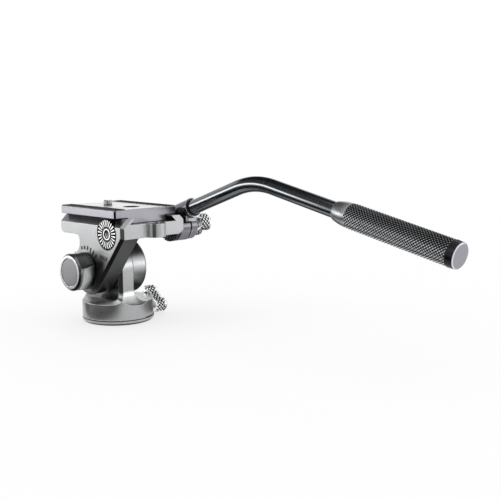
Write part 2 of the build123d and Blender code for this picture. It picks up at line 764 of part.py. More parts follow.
# Tilt shaft: flange in the arm, journal in the neck, thin end in the case
with BuildPart() as tilt_shaft:
    for start, end, radius in (
        (arm_outer, flange_face, hub_radius),
        (flange_face, arm_inner, shaft_flange_radius),
        (arm_inner, rotor_start, journal_radius),
        (rotor_start, shaft_end, hub_radius),
    ):
        with BuildSketch(tilt_plane.offset(start)):
            Circle(radius)
        extrude(amount=end - start)
    with BuildSketch(tilt_plane.offset(arm_outer)):
        Circle(rod_radius + running_gap)
    extrude(amount=shaft_end - arm_outer, mode=Mode.SUBTRACT)
    with BuildSketch(tilt_plane.offset(flange_face)):
        with PolarLocations(shaft_screw_ring, shaft_screw_count, 90):
            Circle(shaft_screw_radius)
    extrude(amount=shaft_flange_thickness, mode=Mode.SUBTRACT)
save(tilt_shaft, "tilt_shaft")

# Three screws through the arm into the shaft's flange, hidden by the drag knob
with BuildPart() as shaft_screws:
    with BuildSketch(tilt_plane.offset(arm_outer + body_gap)):
        with PolarLocations(shaft_screw_ring, shaft_screw_count, 90):
            Circle(shaft_screw_head_radius)
    extrude(amount=shaft_screw_head_height - body_gap)
    with BuildSketch(tilt_plane.offset(arm_outer + shaft_screw_head_height)):
        with PolarLocations(shaft_screw_ring, shaft_screw_count, 90):
            Circle(shaft_screw_radius)
    extrude(amount=arm_inner - arm_outer - shaft_screw_head_height)
save(shaft_screws, "shaft_screws")

# Left rosette: a toothed steel disc let into the flank
with BuildPart() as rosette_left:
    with BuildSketch(rosette_plane.offset(arm_outer)):
        Circle(rosette_radius)
        Circle(handle_thread_radius, mode=Mode.SUBTRACT)
    extrude(amount=rosette_thickness)
    left_face = Plane(origin=(arm_outer, rosette_y, rosette_z), x_dir=(0, -1, 0), z_dir=(-1, 0, 0))
    add(rosette_grooves(left_face).part, mode=Mode.SUBTRACT)
    with BuildSketch(rosette_plane.offset(arm_outer - overrun)):
        Circle(rosette_radius + overrun)
        Circle(rosette_radius - rosette_rim, mode=Mode.SUBTRACT)
    extrude(amount=rosette_tooth_depth + overrun, mode=Mode.SUBTRACT)
save(rosette_left, "rosette_left")

# Bull's-eye level: cup, dyed liquid and glass
level_plane = Plane(origin=(level_x, level_y, channel_floor - level_height))
level_fluid_top = level_wall + level_fluid_height
level_glass_top = level_fluid_top + level_glass_height
level_bore = level_radius - level_wall
with BuildPart() as level_cup:
    with BuildSketch(level_plane):
        Circle(level_radius)
    extrude(amount=level_glass_top)
    with BuildSketch(level_plane.offset(level_wall)):
        Circle(level_bore)
    extrude(amount=level_glass_top - level_wall, mode=Mode.SUBTRACT)
save(level_cup, "level_cup")
level_fluid = disc(level_plane, level_wall, level_fluid_top, level_bore)
save(level_fluid, "level_fluid")
level_glass = disc(level_plane, level_fluid_top, level_glass_top, level_bore)
save(level_glass, "level_glass")

# Drag knob: two finger scallops, a bright bevel and a let-in disc
knob_face = arm_outer - body_gap - face_gap
knob_plane = Plane(origin=(knob_face, 0, tilt_height), x_dir=(0, -1, 0), z_dir=(-1, 0, 0))
bolt_seat = drag_knob_length - inlay_depth - knob_bolt_head_height
rod_seat = bolt_seat - knob_bolt_web
scallop_reach = drag_knob_radius + scallop_radius - scallop_depth
with BuildPart() as scallops:
    with BuildSketch(knob_plane):
        with PolarLocations(scallop_reach, scallop_count, -scallop_turn):
            Circle(scallop_radius)
    extrude(amount=drag_knob_length - scallop_rim, taper=scallop_taper)
    fillet(edges().group_by(Axis.X)[0], scallop_round)
with BuildPart() as drag_knob:
    with BuildSketch(knob_plane):
        Circle(drag_knob_radius)
    extrude(amount=drag_knob_length)
    chamfer(edges().group_by(Axis.X)[0], drag_knob_bevel)
    chamfer(edges().group_by(Axis.X)[-1], drag_knob_heel)
    add(scallops.part, mode=Mode.SUBTRACT)
    with BuildSketch(knob_plane.offset(drag_knob_length - inlay_depth)):
        Circle(inlay_radius + inlay_gap)
    extrude(amount=inlay_depth, mode=Mode.SUBTRACT)
    with BuildSketch(knob_plane.offset(bolt_seat)):
        Circle(knob_bolt_head_radius)
    extrude(amount=knob_bolt_head_height, mode=Mode.SUBTRACT)
    with BuildSketch(knob_plane):
        Circle(knob_bolt_radius)
    extrude(amount=bolt_seat, mode=Mode.SUBTRACT)
    with BuildSketch(knob_plane):
        Circle(rod_radius)
    extrude(amount=rod_seat, mode=Mode.SUBTRACT)
save(drag_knob, "drag_knob")
drag_knob_inlay = disc(knob_plane, drag_knob_length - inlay_depth, drag_knob_length - face_gap, inlay_radius)
save(drag_knob_inlay, "drag_knob_inlay")
drag_washer = disc(knob_plane, -body_gap, 0, drag_washer_radius, rod_radius)
save(drag_washer, "drag_washer")

# Drag rod: runs through the hollow shaft to the pressure plate
rod_length = pressure_plate_end - knob_face
with BuildPart() as drag_rod:
    with BuildSketch(knob_plane.offset(rod_seat)):
        Circle(rod_radius)
    extrude(amount=-rod_seat - rod_length)
    with BuildSketch(knob_plane.offset(rod_seat)):
        Circle(knob_bolt_radius)
    extrude(amount=-knob_bolt_length, mode=Mode.SUBTRACT)
save(drag_rod, "drag_rod")
with BuildPart() as knob_bolt:
    with BuildSketch(knob_plane.offset(bolt_seat)):
        Circle(knob_bolt_head_radius)
    extrude(amount=knob_bolt_head_height)
    with BuildSketch(knob_plane.offset(bolt_seat)):
        Circle(knob_bolt_radius)
    extrude(amount=-knob_bolt_web - knob_bolt_length)
save(knob_bolt, "knob_bolt")

# Clamp shoe: the moving stretch of the right jaw
shoe_left = platform_right - shoe_wall
with BuildPart() as clamp_shoe:
    with BuildSketch(Plane.XZ.offset(-shoe_front)):
        Polygon(
            (shoe_left, shoe_bottom), (platform_right, shoe_bottom), (platform_right, right_shoulder),
            (right_jaw, jaw_top), (jaw_inner, jaw_top),
            (channel_half_width - slide_gap, channel_floor + slide_gap),
            (shoe_left, channel_floor + slide_gap), align=None,
        )
    extrude(amount=shoe_length)
    with BuildSketch(shoe_plane.offset(shoe_left - overrun)):
        Circle(lock_screw_radius + running_gap)
        with Locations((pin_spread, 0), (-pin_spread, 0)):
            Circle(shoe_pin_radius + running_gap)
    extrude(amount=shoe_wall + overrun + overrun, mode=Mode.SUBTRACT)
save(clamp_shoe, "clamp_shoe")
pin_start = pocket_left + shoe_wall - shoe_pin_length
with BuildPart() as shoe_guide_pins:
    with BuildSketch(shoe_plane.offset(pin_start)):
        with Locations((pin_spread, 0), (-pin_spread, 0)):
            Circle(shoe_pin_radius)
    extrude(amount=shoe_pin_length)
save(shoe_guide_pins, "shoe_guide_pins")

# Plate lock: wing knob and screw
plate_knob_start = platform_right + face_gap
plate_knob_seat = Plane(
    origin=(plate_knob_start, shoe_middle, shoe_screw_height), x_dir=wing_direction(plate_wing_angle),
    z_dir=(1, 0, 0),
)
plate_lock_knob = wing_knob(plate_knob_seat, lock_screw_radius)
save(plate_lock_knob, "plate_lock_knob")
plate_lock_screw = disc(
    shoe_plane, shoe_screw_tip, plate_knob_start + wing_height / 2, lock_screw_radius
)
save(plate_lock_screw, "plate_lock_screw")

# Quick-release plate: dovetail foot, grooved top, camera screw and a threaded hole
foot_bottom = channel_floor + body_gap
foot_line = channel_half_width + channel_floor - slide_gap * sqrt(2)
foot_half = foot_line - foot_bottom
waist_half = foot_line - plate_bottom
camera_head_bottom = foot_bottom + clip_thickness + face_gap
camera_head_top = foot_bottom + camera_recess_depth - face_gap
with BuildPart() as quick_release_plate:
    with BuildSketch(Plane.XZ.offset(-plate_front)):
        Polygon(
            (-plate_half_width, plate_bottom), (-plate_half_width, plate_top),
            (plate_half_width, plate_top), (plate_half_width, plate_bottom),
            (waist_half, plate_bottom), (foot_half, foot_bottom),
            (-foot_half, foot_bottom), (-waist_half, plate_bottom), align=None,
        )
    extrude(amount=plate_length)
    corners = edges().filter_by(Axis.Z)
    chamfer(corners, plate_corner_bevel)
    chamfer(faces().sort_by(Axis.Z)[-1].edges(), plate_edge_bevel)
    groove_step = (groove_band_outer - groove_band_inner) / (groove_count - 1)
    with BuildSketch(Plane.XZ.offset(-plate_front - overrun)):
        for index in range(groove_count):
            groove_x = groove_band_inner + groove_step * index
            with Locations((groove_x, plate_top), (-groove_x, plate_top)):
                Rectangle(groove_width, 2 * groove_depth)
    extrude(amount=plate_length + overrun + overrun, mode=Mode.SUBTRACT)
    with BuildSketch(Plane.XY.offset(foot_bottom)):
        with Locations((0, camera_screw_y)):
            Circle(camera_recess_radius)
    extrude(amount=camera_recess_depth, mode=Mode.SUBTRACT)
    with BuildSketch(Plane.XY.offset(foot_bottom)):
        with Locations((0, camera_screw_y)):
            Circle(camera_stud_radius + running_gap)
        with Locations((0, plate_hole_y)):
            Circle(plate_hole_radius)
    extrude(amount=plate_top - foot_bottom, mode=Mode.SUBTRACT)
    hole_rim = edges().filter_by(GeomType.CIRCLE).sort_by_distance((0, plate_hole_y, plate_top))[0]
    chamfer(hole_rim, plate_hole_bevel)
    with BuildSketch(Plane.XY.offset(foot_bottom)):
        with Locations((stop_screw_x, stop_screw_y), (-stop_screw_x, stop_screw_y)):
            Circle(stop_screw_radius)
    extrude(amount=stop_screw_depth, mode=Mode.SUBTRACT)
save(quick_release_plate, "quick_release_plate")
with BuildPart() as plate_stop_screws:
    with BuildSketch(Plane.XY.offset(channel_floor - stop_reach)):
        with Locations((stop_screw_x, stop_screw_y), (-stop_screw_x, stop_screw_y)):
            Circle(stop_screw_radius)
    extrude(amount=foot_bottom + stop_screw_depth - channel_floor + stop_reach)
save(plate_stop_screws, "plate_stop_screws")

# Camera screw, held in its recess by a snap ring
camera_plane = Plane(origin=(0, camera_screw_y, 0))
with BuildPart() as camera_screw:
    with BuildSketch(camera_plane.offset(camera_head_bottom)):
        Circle(camera_head_radius)
    extrude(amount=camera_head_top - camera_head_bottom)
    with BuildSketch(camera_plane.offset(plate_top + camera_neck_rise)):
        Circle(camera_stud_radius)
    extrude(amount=camera_stud_height - camera_neck_rise)
    chamfer(faces().sort_by(Axis.Z)[-1].edges(), camera_stud_bevel)
    thread_start = faces().filter_by(Axis.Z).sort_by_distance((0, camera_screw_y, plate_top))[0]
    chamfer(thread_start.edges(), camera_thread_runout)
    with BuildSketch(camera_plane.offset(camera_head_top)):
        Circle(camera_neck_radius)
    extrude(amount=plate_top + camera_neck_rise - camera_head_top)
    with BuildSketch(camera_plane.offset(camera_head_bottom)):
        Rectangle(2 * camera_head_radius, camera_slot_width)
    extrude(amount=camera_slot_depth, mode=Mode.SUBTRACT)
save(camera_screw, "camera_screw")
camera_screw_clip = disc(
    camera_plane, foot_bottom, foot_bottom + clip_thickness, camera_recess_radius, clip_bore_radius
)
save(camera_screw_clip, "camera_screw_clip")

# Handle rosette and clamp: a barrel on the rosette's axis, a web and the tube socket
rise = radians(handle_rise_angle)
fall = radians(handle_fall_angle)
socket_plane = Plane(
    origin=(handle_x, socket_mouth_y, socket_mouth_z), x_dir=(1, 0, 0),
    z_dir=(0, cos(rise), -sin(rise)),
)
screw_radius = handle_thread_radius - running_gap
with BuildPart() as handle_rosette:
    with BuildSketch(rosette_plane.offset(handle_rosette_start)):
        Circle(clamp_radius)
        Circle(handle_thread_radius, mode=Mode.SUBTRACT)
    extrude(amount=handle_rosette_thickness)
    mate_face = Plane(
        origin=(handle_rosette_start, rosette_y, rosette_z), x_dir=(0, -1, 0), z_dir=(-1, 0, 0)
    )
    add(rosette_grooves(mate_face).part, mode=Mode.SUBTRACT)
save(handle_rosette, "handle_rosette")
with BuildPart() as handle_clamp:
    with BuildSketch(rosette_plane.offset(barrel_start)):
        Circle(clamp_radius)
    extrude(amount=handle_clamp_right - barrel_start)
    web_rear = rosette_y - web_reach
    web_bottom = rosette_z + web_rise
    with BuildSketch(Plane.YZ.offset(barrel_start)):
        tail = socket_plane.origin + socket_plane.z_dir * (socket_length - socket_radius)
        lip = socket_plane.origin + socket_plane.z_dir * socket_mouth_depth
        Polygon(
            (web_rear, web_bottom), (rosette_y - clamp_radius / 2, web_bottom),
            (rosette_y, rosette_z), (tail.Y, tail.Z), (lip.Y, lip.Z), (web_rear, lip.Z - socket_radius / 2),
            align=None,
        )
    extrude(amount=web_width)
    with BuildSketch(socket_plane):
        Circle(socket_radius)
    extrude(amount=socket_length)
    with BuildSketch(socket_plane):
        Circle(tube_radius)
    extrude(amount=tube_insertion, mode=Mode.SUBTRACT)
    with BuildSketch(socket_plane):
        Circle(socket_radius - socket_lip)
    extrude(amount=socket_mouth_depth, mode=Mode.SUBTRACT)
    with BuildSketch(rosette_plane.offset(barrel_start)):
        Circle(handle_thread_radius)
    extrude(amount=handle_clamp_right - barrel_start, mode=Mode.SUBTRACT)
    with BuildSketch(rosette_plane.offset(barrel_start)):
        Circle(clamp_radius)
    extrude(amount=-handle_rosette_thickness, mode=Mode.SUBTRACT)
    screw_seat = Plane(
        origin=socket_plane.origin + socket_plane.z_dir * set_screw_inset,
        x_dir=socket_plane.z_dir, z_dir=(1, 0, 0),
    )
    with BuildSketch(screw_seat.offset(tube_radius - overrun)):
        Circle(set_screw_radius)
    extrude(amount=socket_radius - tube_radius + overrun + overrun, mode=Mode.SUBTRACT)
save(handle_clamp, "handle_clamp")
set_screw_length = sqrt(socket_radius ** 2 - set_screw_radius ** 2) - tube_radius
tube_set_screw = disc(screw_seat, tube_radius, tube_radius + set_screw_length, set_screw_radius)
save(tube_set_screw, "tube_set_screw")
socket_seal = disc(socket_plane, seal_inset, socket_mouth_depth, socket_radius - socket_lip, tube_radius)
save(socket_seal, "socket_seal")

# Handle lock: thick washer, wing knob and through screw
washer_start = handle_clamp_right + face_gap
washer_end = washer_start + lock_washer_thickness
with BuildPart() as handle_lock_washer:
    with BuildSketch(rosette_plane.offset(washer_start)):
        Circle(lock_washer_radius)
    extrude(amount=lock_washer_thickness)
    chamfer(edges(), lock_washer_bevel)
    with BuildSketch(rosette_plane.offset(washer_start)):
        Circle(handle_thread_radius)
    extrude(amount=lock_washer_thickness, mode=Mode.SUBTRACT)
save(handle_lock_washer, "handle_lock_washer")
handle_knob_seat = Plane(
    origin=(washer_end, rosette_y, rosette_z), x_dir=wing_direction(handle_wing_angle), z_dir=(1, 0, 0)
)
handle_lock_knob = wing_knob(handle_knob_seat, screw_radius)
save(handle_lock_knob, "handle_lock_knob")
handle_lock_screw = disc(
    rosette_plane, thread_end + overrun, washer_end + wing_height / 2, screw_radius
)
save(handle_lock_screw, "handle_lock_screw")

# Handle tube: straight out of the socket, one gentle bend, straight into the grip
grip_plane = Plane(
    origin=(handle_x, handle_corner_y, handle_corner_z), x_dir=(1, 0, 0),
    z_dir=(0, -cos(fall), -sin(fall)),
)
tube_start = socket_plane.origin + socket_plane.z_dir * tube_insertion
tube_finish = grip_plane.origin + grip_plane.z_dir * (grip_start + tube_in_grip)
tube_profile = Plane(origin=tube_start, x_dir=(1, 0, 0), z_dir=-socket_plane.z_dir)
with BuildPart() as handle_tube:
    with BuildLine() as tube_path:
        FilletPolyline(
            tube_start, (handle_x, handle_corner_y, handle_corner_z), tube_finish,
            radius=handle_bend_radius,
        )
    with BuildSketch(tube_profile):
        Circle(tube_radius)
        Circle(tube_radius - tube_wall, mode=Mode.SUBTRACT)
    sweep(path=tube_path.line)
save(handle_tube, "handle_tube")

# Everything at the far end is turned about the falling leg of the tube
grip_axis = Axis(grip_plane.origin, grip_plane.z_dir)
turning_plane = Plane(origin=grip_plane.origin, x_dir=grip_plane.z_dir, z_dir=(1, 0, 0))
ferrule_middle = (ferrule_start + grip_start) / 2
with BuildPart() as handle_ferrule:
    with BuildSketch(turning_plane):
        with BuildLine():
            nose_face = Line((ferrule_start, tube_radius), (ferrule_start, ferrule_nose_radius))
            belly = ThreePointArc(
                nose_face @ 1, (ferrule_middle, ferrule_belly_radius), (grip_start, ferrule_radius)
            )
            back_face = Line(belly @ 1, (grip_start, tube_radius))
            inside = Line(back_face @ 1, nose_face @ 0)
        make_face()
    revolve(axis=grip_axis)
save(handle_ferrule, "handle_ferrule")

# Grip: sleeve with bevelled ends, bonded to the tube
with BuildPart() as handle_grip:
    with BuildSketch(turning_plane):
        Polygon(
            (grip_start, tube_radius), (grip_start, grip_radius - grip_bevel),
            (grip_start + grip_bevel, grip_radius), (grip_end - grip_bevel, grip_radius),
            (grip_end, grip_radius - grip_bevel), (grip_end, tube_radius), align=None,
        )
    revolve(axis=grip_axis)
save(handle_grip, "handle_grip")
with BuildPart() as grip_seal_ring:
    with BuildSketch(turning_plane):
        Polygon(
            (grip_end, tube_radius), (grip_end, grip_seal_radius),
            (grip_end + grip_seal_length, grip_seal_radius),
            (grip_end + grip_seal_length, tube_radius), align=None,
        )
    revolve(axis=grip_axis)
save(grip_seal_ring, "grip_seal_ring")
with BuildPart() as grip_end_cap:
    with BuildSketch(turning_plane):
        Polygon(
            (grip_end - grip_plug_length, 0), (grip_end - grip_plug_length, tube_radius),
            (cap_start, tube_radius), (cap_start, grip_radius),
            (handle_end - grip_cap_bevel, grip_radius - grip_cap_taper),
            (handle_end, grip_radius - grip_cap_taper - grip_cap_bevel), (handle_end, 0), align=None,
        )
    revolve(axis=grip_axis)
save(grip_end_cap, "grip_end_cap")
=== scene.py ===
import json
import math

import bpy
import numpy as np
from mathutils import Matrix, Vector


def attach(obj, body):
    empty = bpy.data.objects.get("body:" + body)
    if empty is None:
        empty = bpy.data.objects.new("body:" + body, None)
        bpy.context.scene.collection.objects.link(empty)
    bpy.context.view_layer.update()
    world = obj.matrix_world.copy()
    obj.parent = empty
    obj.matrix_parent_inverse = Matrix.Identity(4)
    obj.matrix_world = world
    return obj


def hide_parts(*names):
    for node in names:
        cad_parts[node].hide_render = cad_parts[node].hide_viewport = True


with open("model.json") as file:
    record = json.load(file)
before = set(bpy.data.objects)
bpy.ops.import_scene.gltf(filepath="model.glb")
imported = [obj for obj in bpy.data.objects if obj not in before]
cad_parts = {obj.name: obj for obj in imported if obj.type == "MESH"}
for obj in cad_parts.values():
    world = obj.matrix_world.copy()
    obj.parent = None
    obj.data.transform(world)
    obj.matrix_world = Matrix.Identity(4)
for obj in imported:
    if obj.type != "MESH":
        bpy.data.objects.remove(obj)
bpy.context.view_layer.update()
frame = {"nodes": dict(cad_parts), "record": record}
nodes = frame["nodes"]
mm = 0.001
fullTurn = 2 * math.pi
print("frame loaded:", len(nodes), "nodes")


def addObject(name, data):
    thing = bpy.data.objects.new(name, data)
    bpy.context.scene.collection.objects.link(thing)
    return thing


def axesMatrix(x, y, z, spot):
    # carries the three axes onto x, y and z, and the origin to the spot
    columns = [(*axis, 0) for axis in (x, y, z)] + [(*spot, 1)]
    return Matrix(columns).transposed()


# The camera stands where the photograph's camera stood
photoCamera = {
    "azimuth": -44.84, "elevation": 8.164, "roll": -0.36,  # degrees
    "distance": 0.59776, "aimRight": 0.09367, "aimUp": 0.04841, "nearest": 0.01,  # metres
    "lens": 61.2,
}


def placeCamera(place):
    # the camera looks back along a ray that leaves the aim point at the azimuth and elevation,
    # and its right side is the level direction, rolled about that ray
    turn = math.radians(place["azimuth"])
    tilt = math.radians(place["elevation"])
    roll = math.radians(place["roll"])
    flat = math.cos(tilt)
    back = Vector((math.sin(turn) * flat, -math.cos(turn) * flat, math.sin(tilt)))
    level = Vector((math.cos(turn), math.sin(turn), 0))
    right = math.cos(roll) * level + math.sin(roll) * back.cross(level)
    aim = level * place["aimRight"] + Vector((0, 0, place["aimUp"]))
    data = bpy.data.cameras.new("photoCamera")
    data.lens, data.clip_start = place["lens"], place["nearest"]
    camera = addObject("photoCamera", data)
    camera.matrix_world = axesMatrix(right, back.cross(right), back, aim + back * place["distance"])
    bpy.context.scene.camera = camera


placeCamera(photoCamera)
bpy.context.scene.view_settings.view_transform = "Standard"

nodeStep = 180           # nodes stand in a row, in the order of their making


def feed(tree, node, values):
    # gives the node's inputs their values by name or number; one that is itself a socket is linked
    for key, value in values.items():
        if isinstance(value, bpy.types.NodeSocket):
            tree.links.new(value, node.inputs[key])
        else:
            node.inputs[key].default_value = value


def addNode(tree, kind, values=None, **settings):
    # values go to the node's inputs, settings to the node itself
    node = tree.nodes.new("ShaderNode" + kind)
    node.location = (nodeStep * len(tree.nodes), 0)
    for key, value in settings.items():
        setattr(node, key, value)
    feed(tree, node, values or {})
    return node


def calc(tree, operation, *values):
    return addNode(tree, "Math", dict(enumerate(values)), operation=operation).outputs[0]


def vectorCalc(tree, operation, first, second=None):
    # a dot product and a length come out as a number, and scaling takes one as its second value
    values = {0: first}
    if second is not None:
        values["Scale" if operation == "SCALE" else 1] = second
    node = addNode(tree, "VectorMath", values, operation=operation)
    return node.outputs["Value" if operation in ("DOT_PRODUCT", "LENGTH") else "Vector"]


def mapRange(tree, value, low, high, outLow=0.0, outHigh=1.0, smooth=False):
    # low becomes outLow and high becomes outHigh, and what lies beyond them stays at the ends
    node = addNode(tree, "MapRange", {
        "Value": value, "From Min": low, "From Max": high, "To Min": outLow, "To Max": outHigh,
    }, interpolation_type="SMOOTHSTEP" if smooth else "LINEAR")
    return node.outputs["Result"]


def newGroup(name, **defaults):
    # an empty group with an input for each default, and the sockets that its nodes read
    group = bpy.data.node_groups.new(name, "ShaderNodeTree")
    for label, value in defaults.items():
        kind = "NodeSocketVector" if isinstance(value, tuple) else "NodeSocketFloat"
        socket = group.interface.new_socket(label, in_out="INPUT", socket_type=kind)
        socket.default_value = value
    return group, group.nodes.new("NodeGroupInput").outputs


def closeGroup(group, **results):
    # an output for each result, linked to it
    for label, result in results.items():
        kind = "NodeSocketVector" if result.type == "VECTOR" else "NodeSocketFloat"
        group.interface.new_socket(label, in_out="OUTPUT", socket_type=kind)
    feed(group, group.nodes.new("NodeGroupOutput"), results)
    return group


def useGroup(tree, group, **values):
    return addNode(tree, "Group", values, node_tree=group).outputs


def makeBlastedGrain():
    # two noises on object coordinates: fine bumps of a bead-blasted skin, and a slow patchiness;
    # the tone is 1, and the drift's share of how far the slow noise leaves its middle
    group, given = newGroup("blastedGrain", Density=6000.0, Drift=0.05)
    place = addNode(group, "TexCoord").outputs["Object"]
    fine = addNode(group, "TexNoise", {
        "Vector": place, "Scale": given["Density"], "Detail": 2.0, "Roughness": 0.6,
    }).outputs["Fac"]
    slow = addNode(group, "TexNoise", {
        "Vector": place, "Scale": 90.0, "Detail": 3.0, "Roughness": 0.55,
    }).outputs["Fac"]
    offMiddle = calc(group, "SUBTRACT", slow, 0.5)
    tone = calc(group, "MULTIPLY_ADD", offMiddle, given["Drift"], 1.0)
    return closeGroup(group, Height=fine, Tone=tone, Patch=slow)


# How well the rounded normal agrees with the flat one where the lighter edge, partly wear and
# partly painted highlight, begins and where it is full
wearAndHighlightLimits = (0.995, 0.90)


def makeWearAndEdgeHighlight():
    # a rounded normal near edges, and a mask that rises as it leaves the flat one; the mask
    # lightens edges, partly as wear and partly as a painted highlight
    group, given = newGroup("wearAndEdgeHighlight", Width=0.3 * mm)
    rounded = addNode(group, "Bevel", {"Radius": given["Width"]}, samples=6).outputs["Normal"]
    flat = addNode(group, "NewGeometry").outputs["Normal"]
    alike = vectorCalc(group, "DOT_PRODUCT", rounded, flat)
    mask = mapRange(group, alike, *wearAndHighlightLimits, smooth=True)
    return closeGroup(group, Normal=rounded, Mask=mask)


# How far the object's own normal points up on a slope, on a top and on an underside
facetLimits = {"sloped": (0.35, 0.62), "top": (0.80, 0.95), "underside": (-0.12, -0.5)}


def makePaintedFacetShade():
    # painted shade: 1, less one share on faces that slope up and another on faces that look down,
    # standing in for the dark reflections and shade on them
    group, given = newGroup("paintedFacetShade", Slope=0.5, Under=0.6)
    normal = addNode(group, "TexCoord").outputs["Normal"]
    up = addNode(group, "SeparateXYZ", {0: normal}).outputs["Z"]
    rising = mapRange(group, up, *facetLimits["sloped"], smooth=True)
    notTop = mapRange(group, up, *facetLimits["top"], 1.0, 0.0, smooth=True)
    falling = mapRange(group, up, *facetLimits["underside"], smooth=True)
    sloped = calc(group, "MULTIPLY", calc(group, "MULTIPLY", rising, notTop), given["Slope"])
    under = calc(group, "MULTIPLY", falling, given["Under"])
    tone = calc(group, "SUBTRACT", 1.0, calc(group, "ADD", sloped, under))
    return closeGroup(group, Tone=tone)


def makeTurningAxis():
    # where a point stands against a turning axis: its distance from it and its place along it
    group, given = newGroup("turningAxis", Origin=(0, 0, 0), Direction=(1, 0, 0))
    place = addNode(group, "TexCoord").outputs["Object"]
    offset = vectorCalc(group, "SUBTRACT", place, given["Origin"])
    along = vectorCalc(group, "DOT_PRODUCT", offset, given["Direction"])
    onAxis = vectorCalc(group, "SCALE", given["Direction"], along)
    radius = vectorCalc(group, "LENGTH", vectorCalc(group, "SUBTRACT", offset, onAxis))
    return closeGroup(group, Radius=radius, Along=along)


blastedGrain = makeBlastedGrain()
wearAndEdgeHighlight = makeWearAndEdgeHighlight()
paintedFacetShade = makePaintedFacetShade()
turningAxis = makeTurningAxis()
print("shared effects built")

# Turning axes: a point and a direction
tiltAxis = ((0, 0, 37.8 * mm), (1, 0, 0))
rosetteAxis = ((-26 * mm, -25 * mm, 64.5 * mm), (1, 0, 0))
plateHole = ((0, -18 * mm, 0), (0, 0, 1))
gripFall = math.radians(12.6)
gripAxis = (
    (33.1 * mm, -104.1 * mm, 100.4 * mm),
    (0, -math.cos(gripFall), -math.sin(gripFall)),
)

# Places with a tone of their own, most of them painted shade or painted highlight, which are less
# metallic where they are dull. A test names what is read, its low and high limit and how soft both
# are, with lengths in millimetres
marks = {
    # painted shade in the seam above the foot's bevel
    "seamShade": {"tone": 0.16, "tests": [("objectZ", 2.75, 3.7, 0.12)]},
    # painted shade in the gaps between the teeth
    "toothGapShade": {"tone": 0.01, "tests": [("objectX", -25.85, None, 0.1)]},
    "hubRing": {"tone": 0.05, "tests": [("radius", 3.75, 5.3, 0.08)]},
    # painted shade: chamfers that face the rear left are darkened, standing in for the dark
    # reflection they show
    "rearChamferShade": {"tone": 0.35, "tests": [("rearLeft", 0.985, None, 0.008)]},
    "plateChamferShade": {"tone": 0.04, "tests": [("rearLeft", 0.985, None, 0.008)]},
    "neckChamferShade": {"tone": 0.30, "tests": [
        ("rearLeft", 0.985, None, 0.008), ("objectZ", 17, None, 0.3),
    ]},
    "knobFace": {"tone": 6.5, "tests": [("normalX", None, -0.93, 0.03)]},
    # painted highlight in the knob's scallops, made less metallic
    "knobScallopHighlight": {"tone": 3.6, "dull": 0.8, "tests": [
        ("radius", None, 12.55, 0.08), ("objectX", -37, None, 0.1), ("objectX", None, -29.5, 4.5),
        ("normalX", -0.5, 0.5, 0.1),
    ]},
    # painted shade on the cap's outer rim, and a painted highlight on the ring inside it
    "capRimShade": {"tone": 0.07, "tests": [("radius", 7.5, None, 0.05)]},
    "capLineHighlight": {"tone": 2.2, "tests": [("radius", 6.95, 7.5, 0.05)]},
    # painted shade on the walls of the plate's grooves
    "grooveShade": {"tone": 0.06, "tests": [
        ("objectX", -25.3, 25.3, 0.1), ("objectZ", 80, 80.69, 0.005), ("normalY", -0.5, 0.5, 0.1),
    ]},
    # painted shade inside the plate's screw hole
    "holeShade": {"tone": 0.04, "tests": [("radius", None, 5.9, 0.1)]},
    # painted light on the barrel's lower half, made less metallic
    "barrelLowLight": {"tone": 1.9, "dull": 0.6, "tests": [
        ("objectX", 30.8, None, 0.1), ("objectZ", None, 62.5, 1.5),
    ]},
    # painted shadow in the gap between the barrel and the washer
    "barrelGapShade": {"tone": 0.05, "tests": [
        ("objectX", 38.9, 40.2, 0.08), ("objectZ", None, 76, 0.5),
    ]},
    # painted light on the rear face of the web block, made less metallic
    "webBlockLight": {"tone": 2.9, "dull": 0.7, "tests": [
        ("objectX", 30.8, 39.6, 0.1), ("objectZ", 69.4, 74.5, 0.2), ("normalY", None, -0.8, 0.1),
    ]},
    # painted shadow line under the web block
    "webShadowLine": {"tone": 0.05, "tests": [
        ("objectX", 30.8, 40.2, 0.1), ("objectZ", 67.6, 69.3, 0.1),
    ]},
    "rosetteRing": {"tone": 0.03, "tests": [
        ("radius", None, 10.75, 0.1), ("normalX", None, -0.9, 0.05),
    ]},
    "knobShade": {"tone": 0.14, "tests": [
        ("normalX", None, -0.9, 0.05), ("objectY", None, -8, 5), ("objectY", -21, None, 2.5),
        ("objectZ", None, 47, 4),
    ]},
    # painted shade on the drum's top, under the arm, made less metallic
    "drumTopShade": {"tone": 0.5, "dull": 0.8, "tests": [
        ("normalZ", 0.93, None, 0.04), ("objectZ", None, 17, 0.3),
    ]},
    # painted highlight on the flare at the neck's foot
    "neckFlareHighlight": {"tone": 1.5, "tests": [
        ("normalZ", 0.15, 0.93, 0.1), ("normalY", None, -0.2, 0.1), ("objectZ", 10, 24, 2),
        ("objectX", None, 6, 4),
    ]},
    "shoulderShade": {"tone": 0.45, "tests": [
        ("normalZ", 0.15, 0.93, 0.1), ("objectX", 0, None, 2.5), ("objectZ", 10, 24, 1),
    ]},
}
rearLeft = (-math.sqrt(0.5), -math.sqrt(0.5), 0)


def readAxis(tree, axis):
    return useGroup(tree, turningAxis, Origin=axis[0], Direction=axis[1])


def readSources(tree, markAxis):
    # what a mark may test: object coordinates, the object's normal and its share towards the rear
    # left, and the distance from the finish's own axis
    place = addNode(tree, "TexCoord").outputs
    found = {"rearLeft": vectorCalc(tree, "DOT_PRODUCT", place["Normal"], rearLeft)}
    for label in ("Object", "Normal"):
        parts = addNode(tree, "SeparateXYZ", {0: place[label]}).outputs
        found.update({label.lower() + part: parts[part] for part in "XYZ"})
    if markAxis:
        found["radius"] = readAxis(tree, markAxis)["Radius"]
    return found


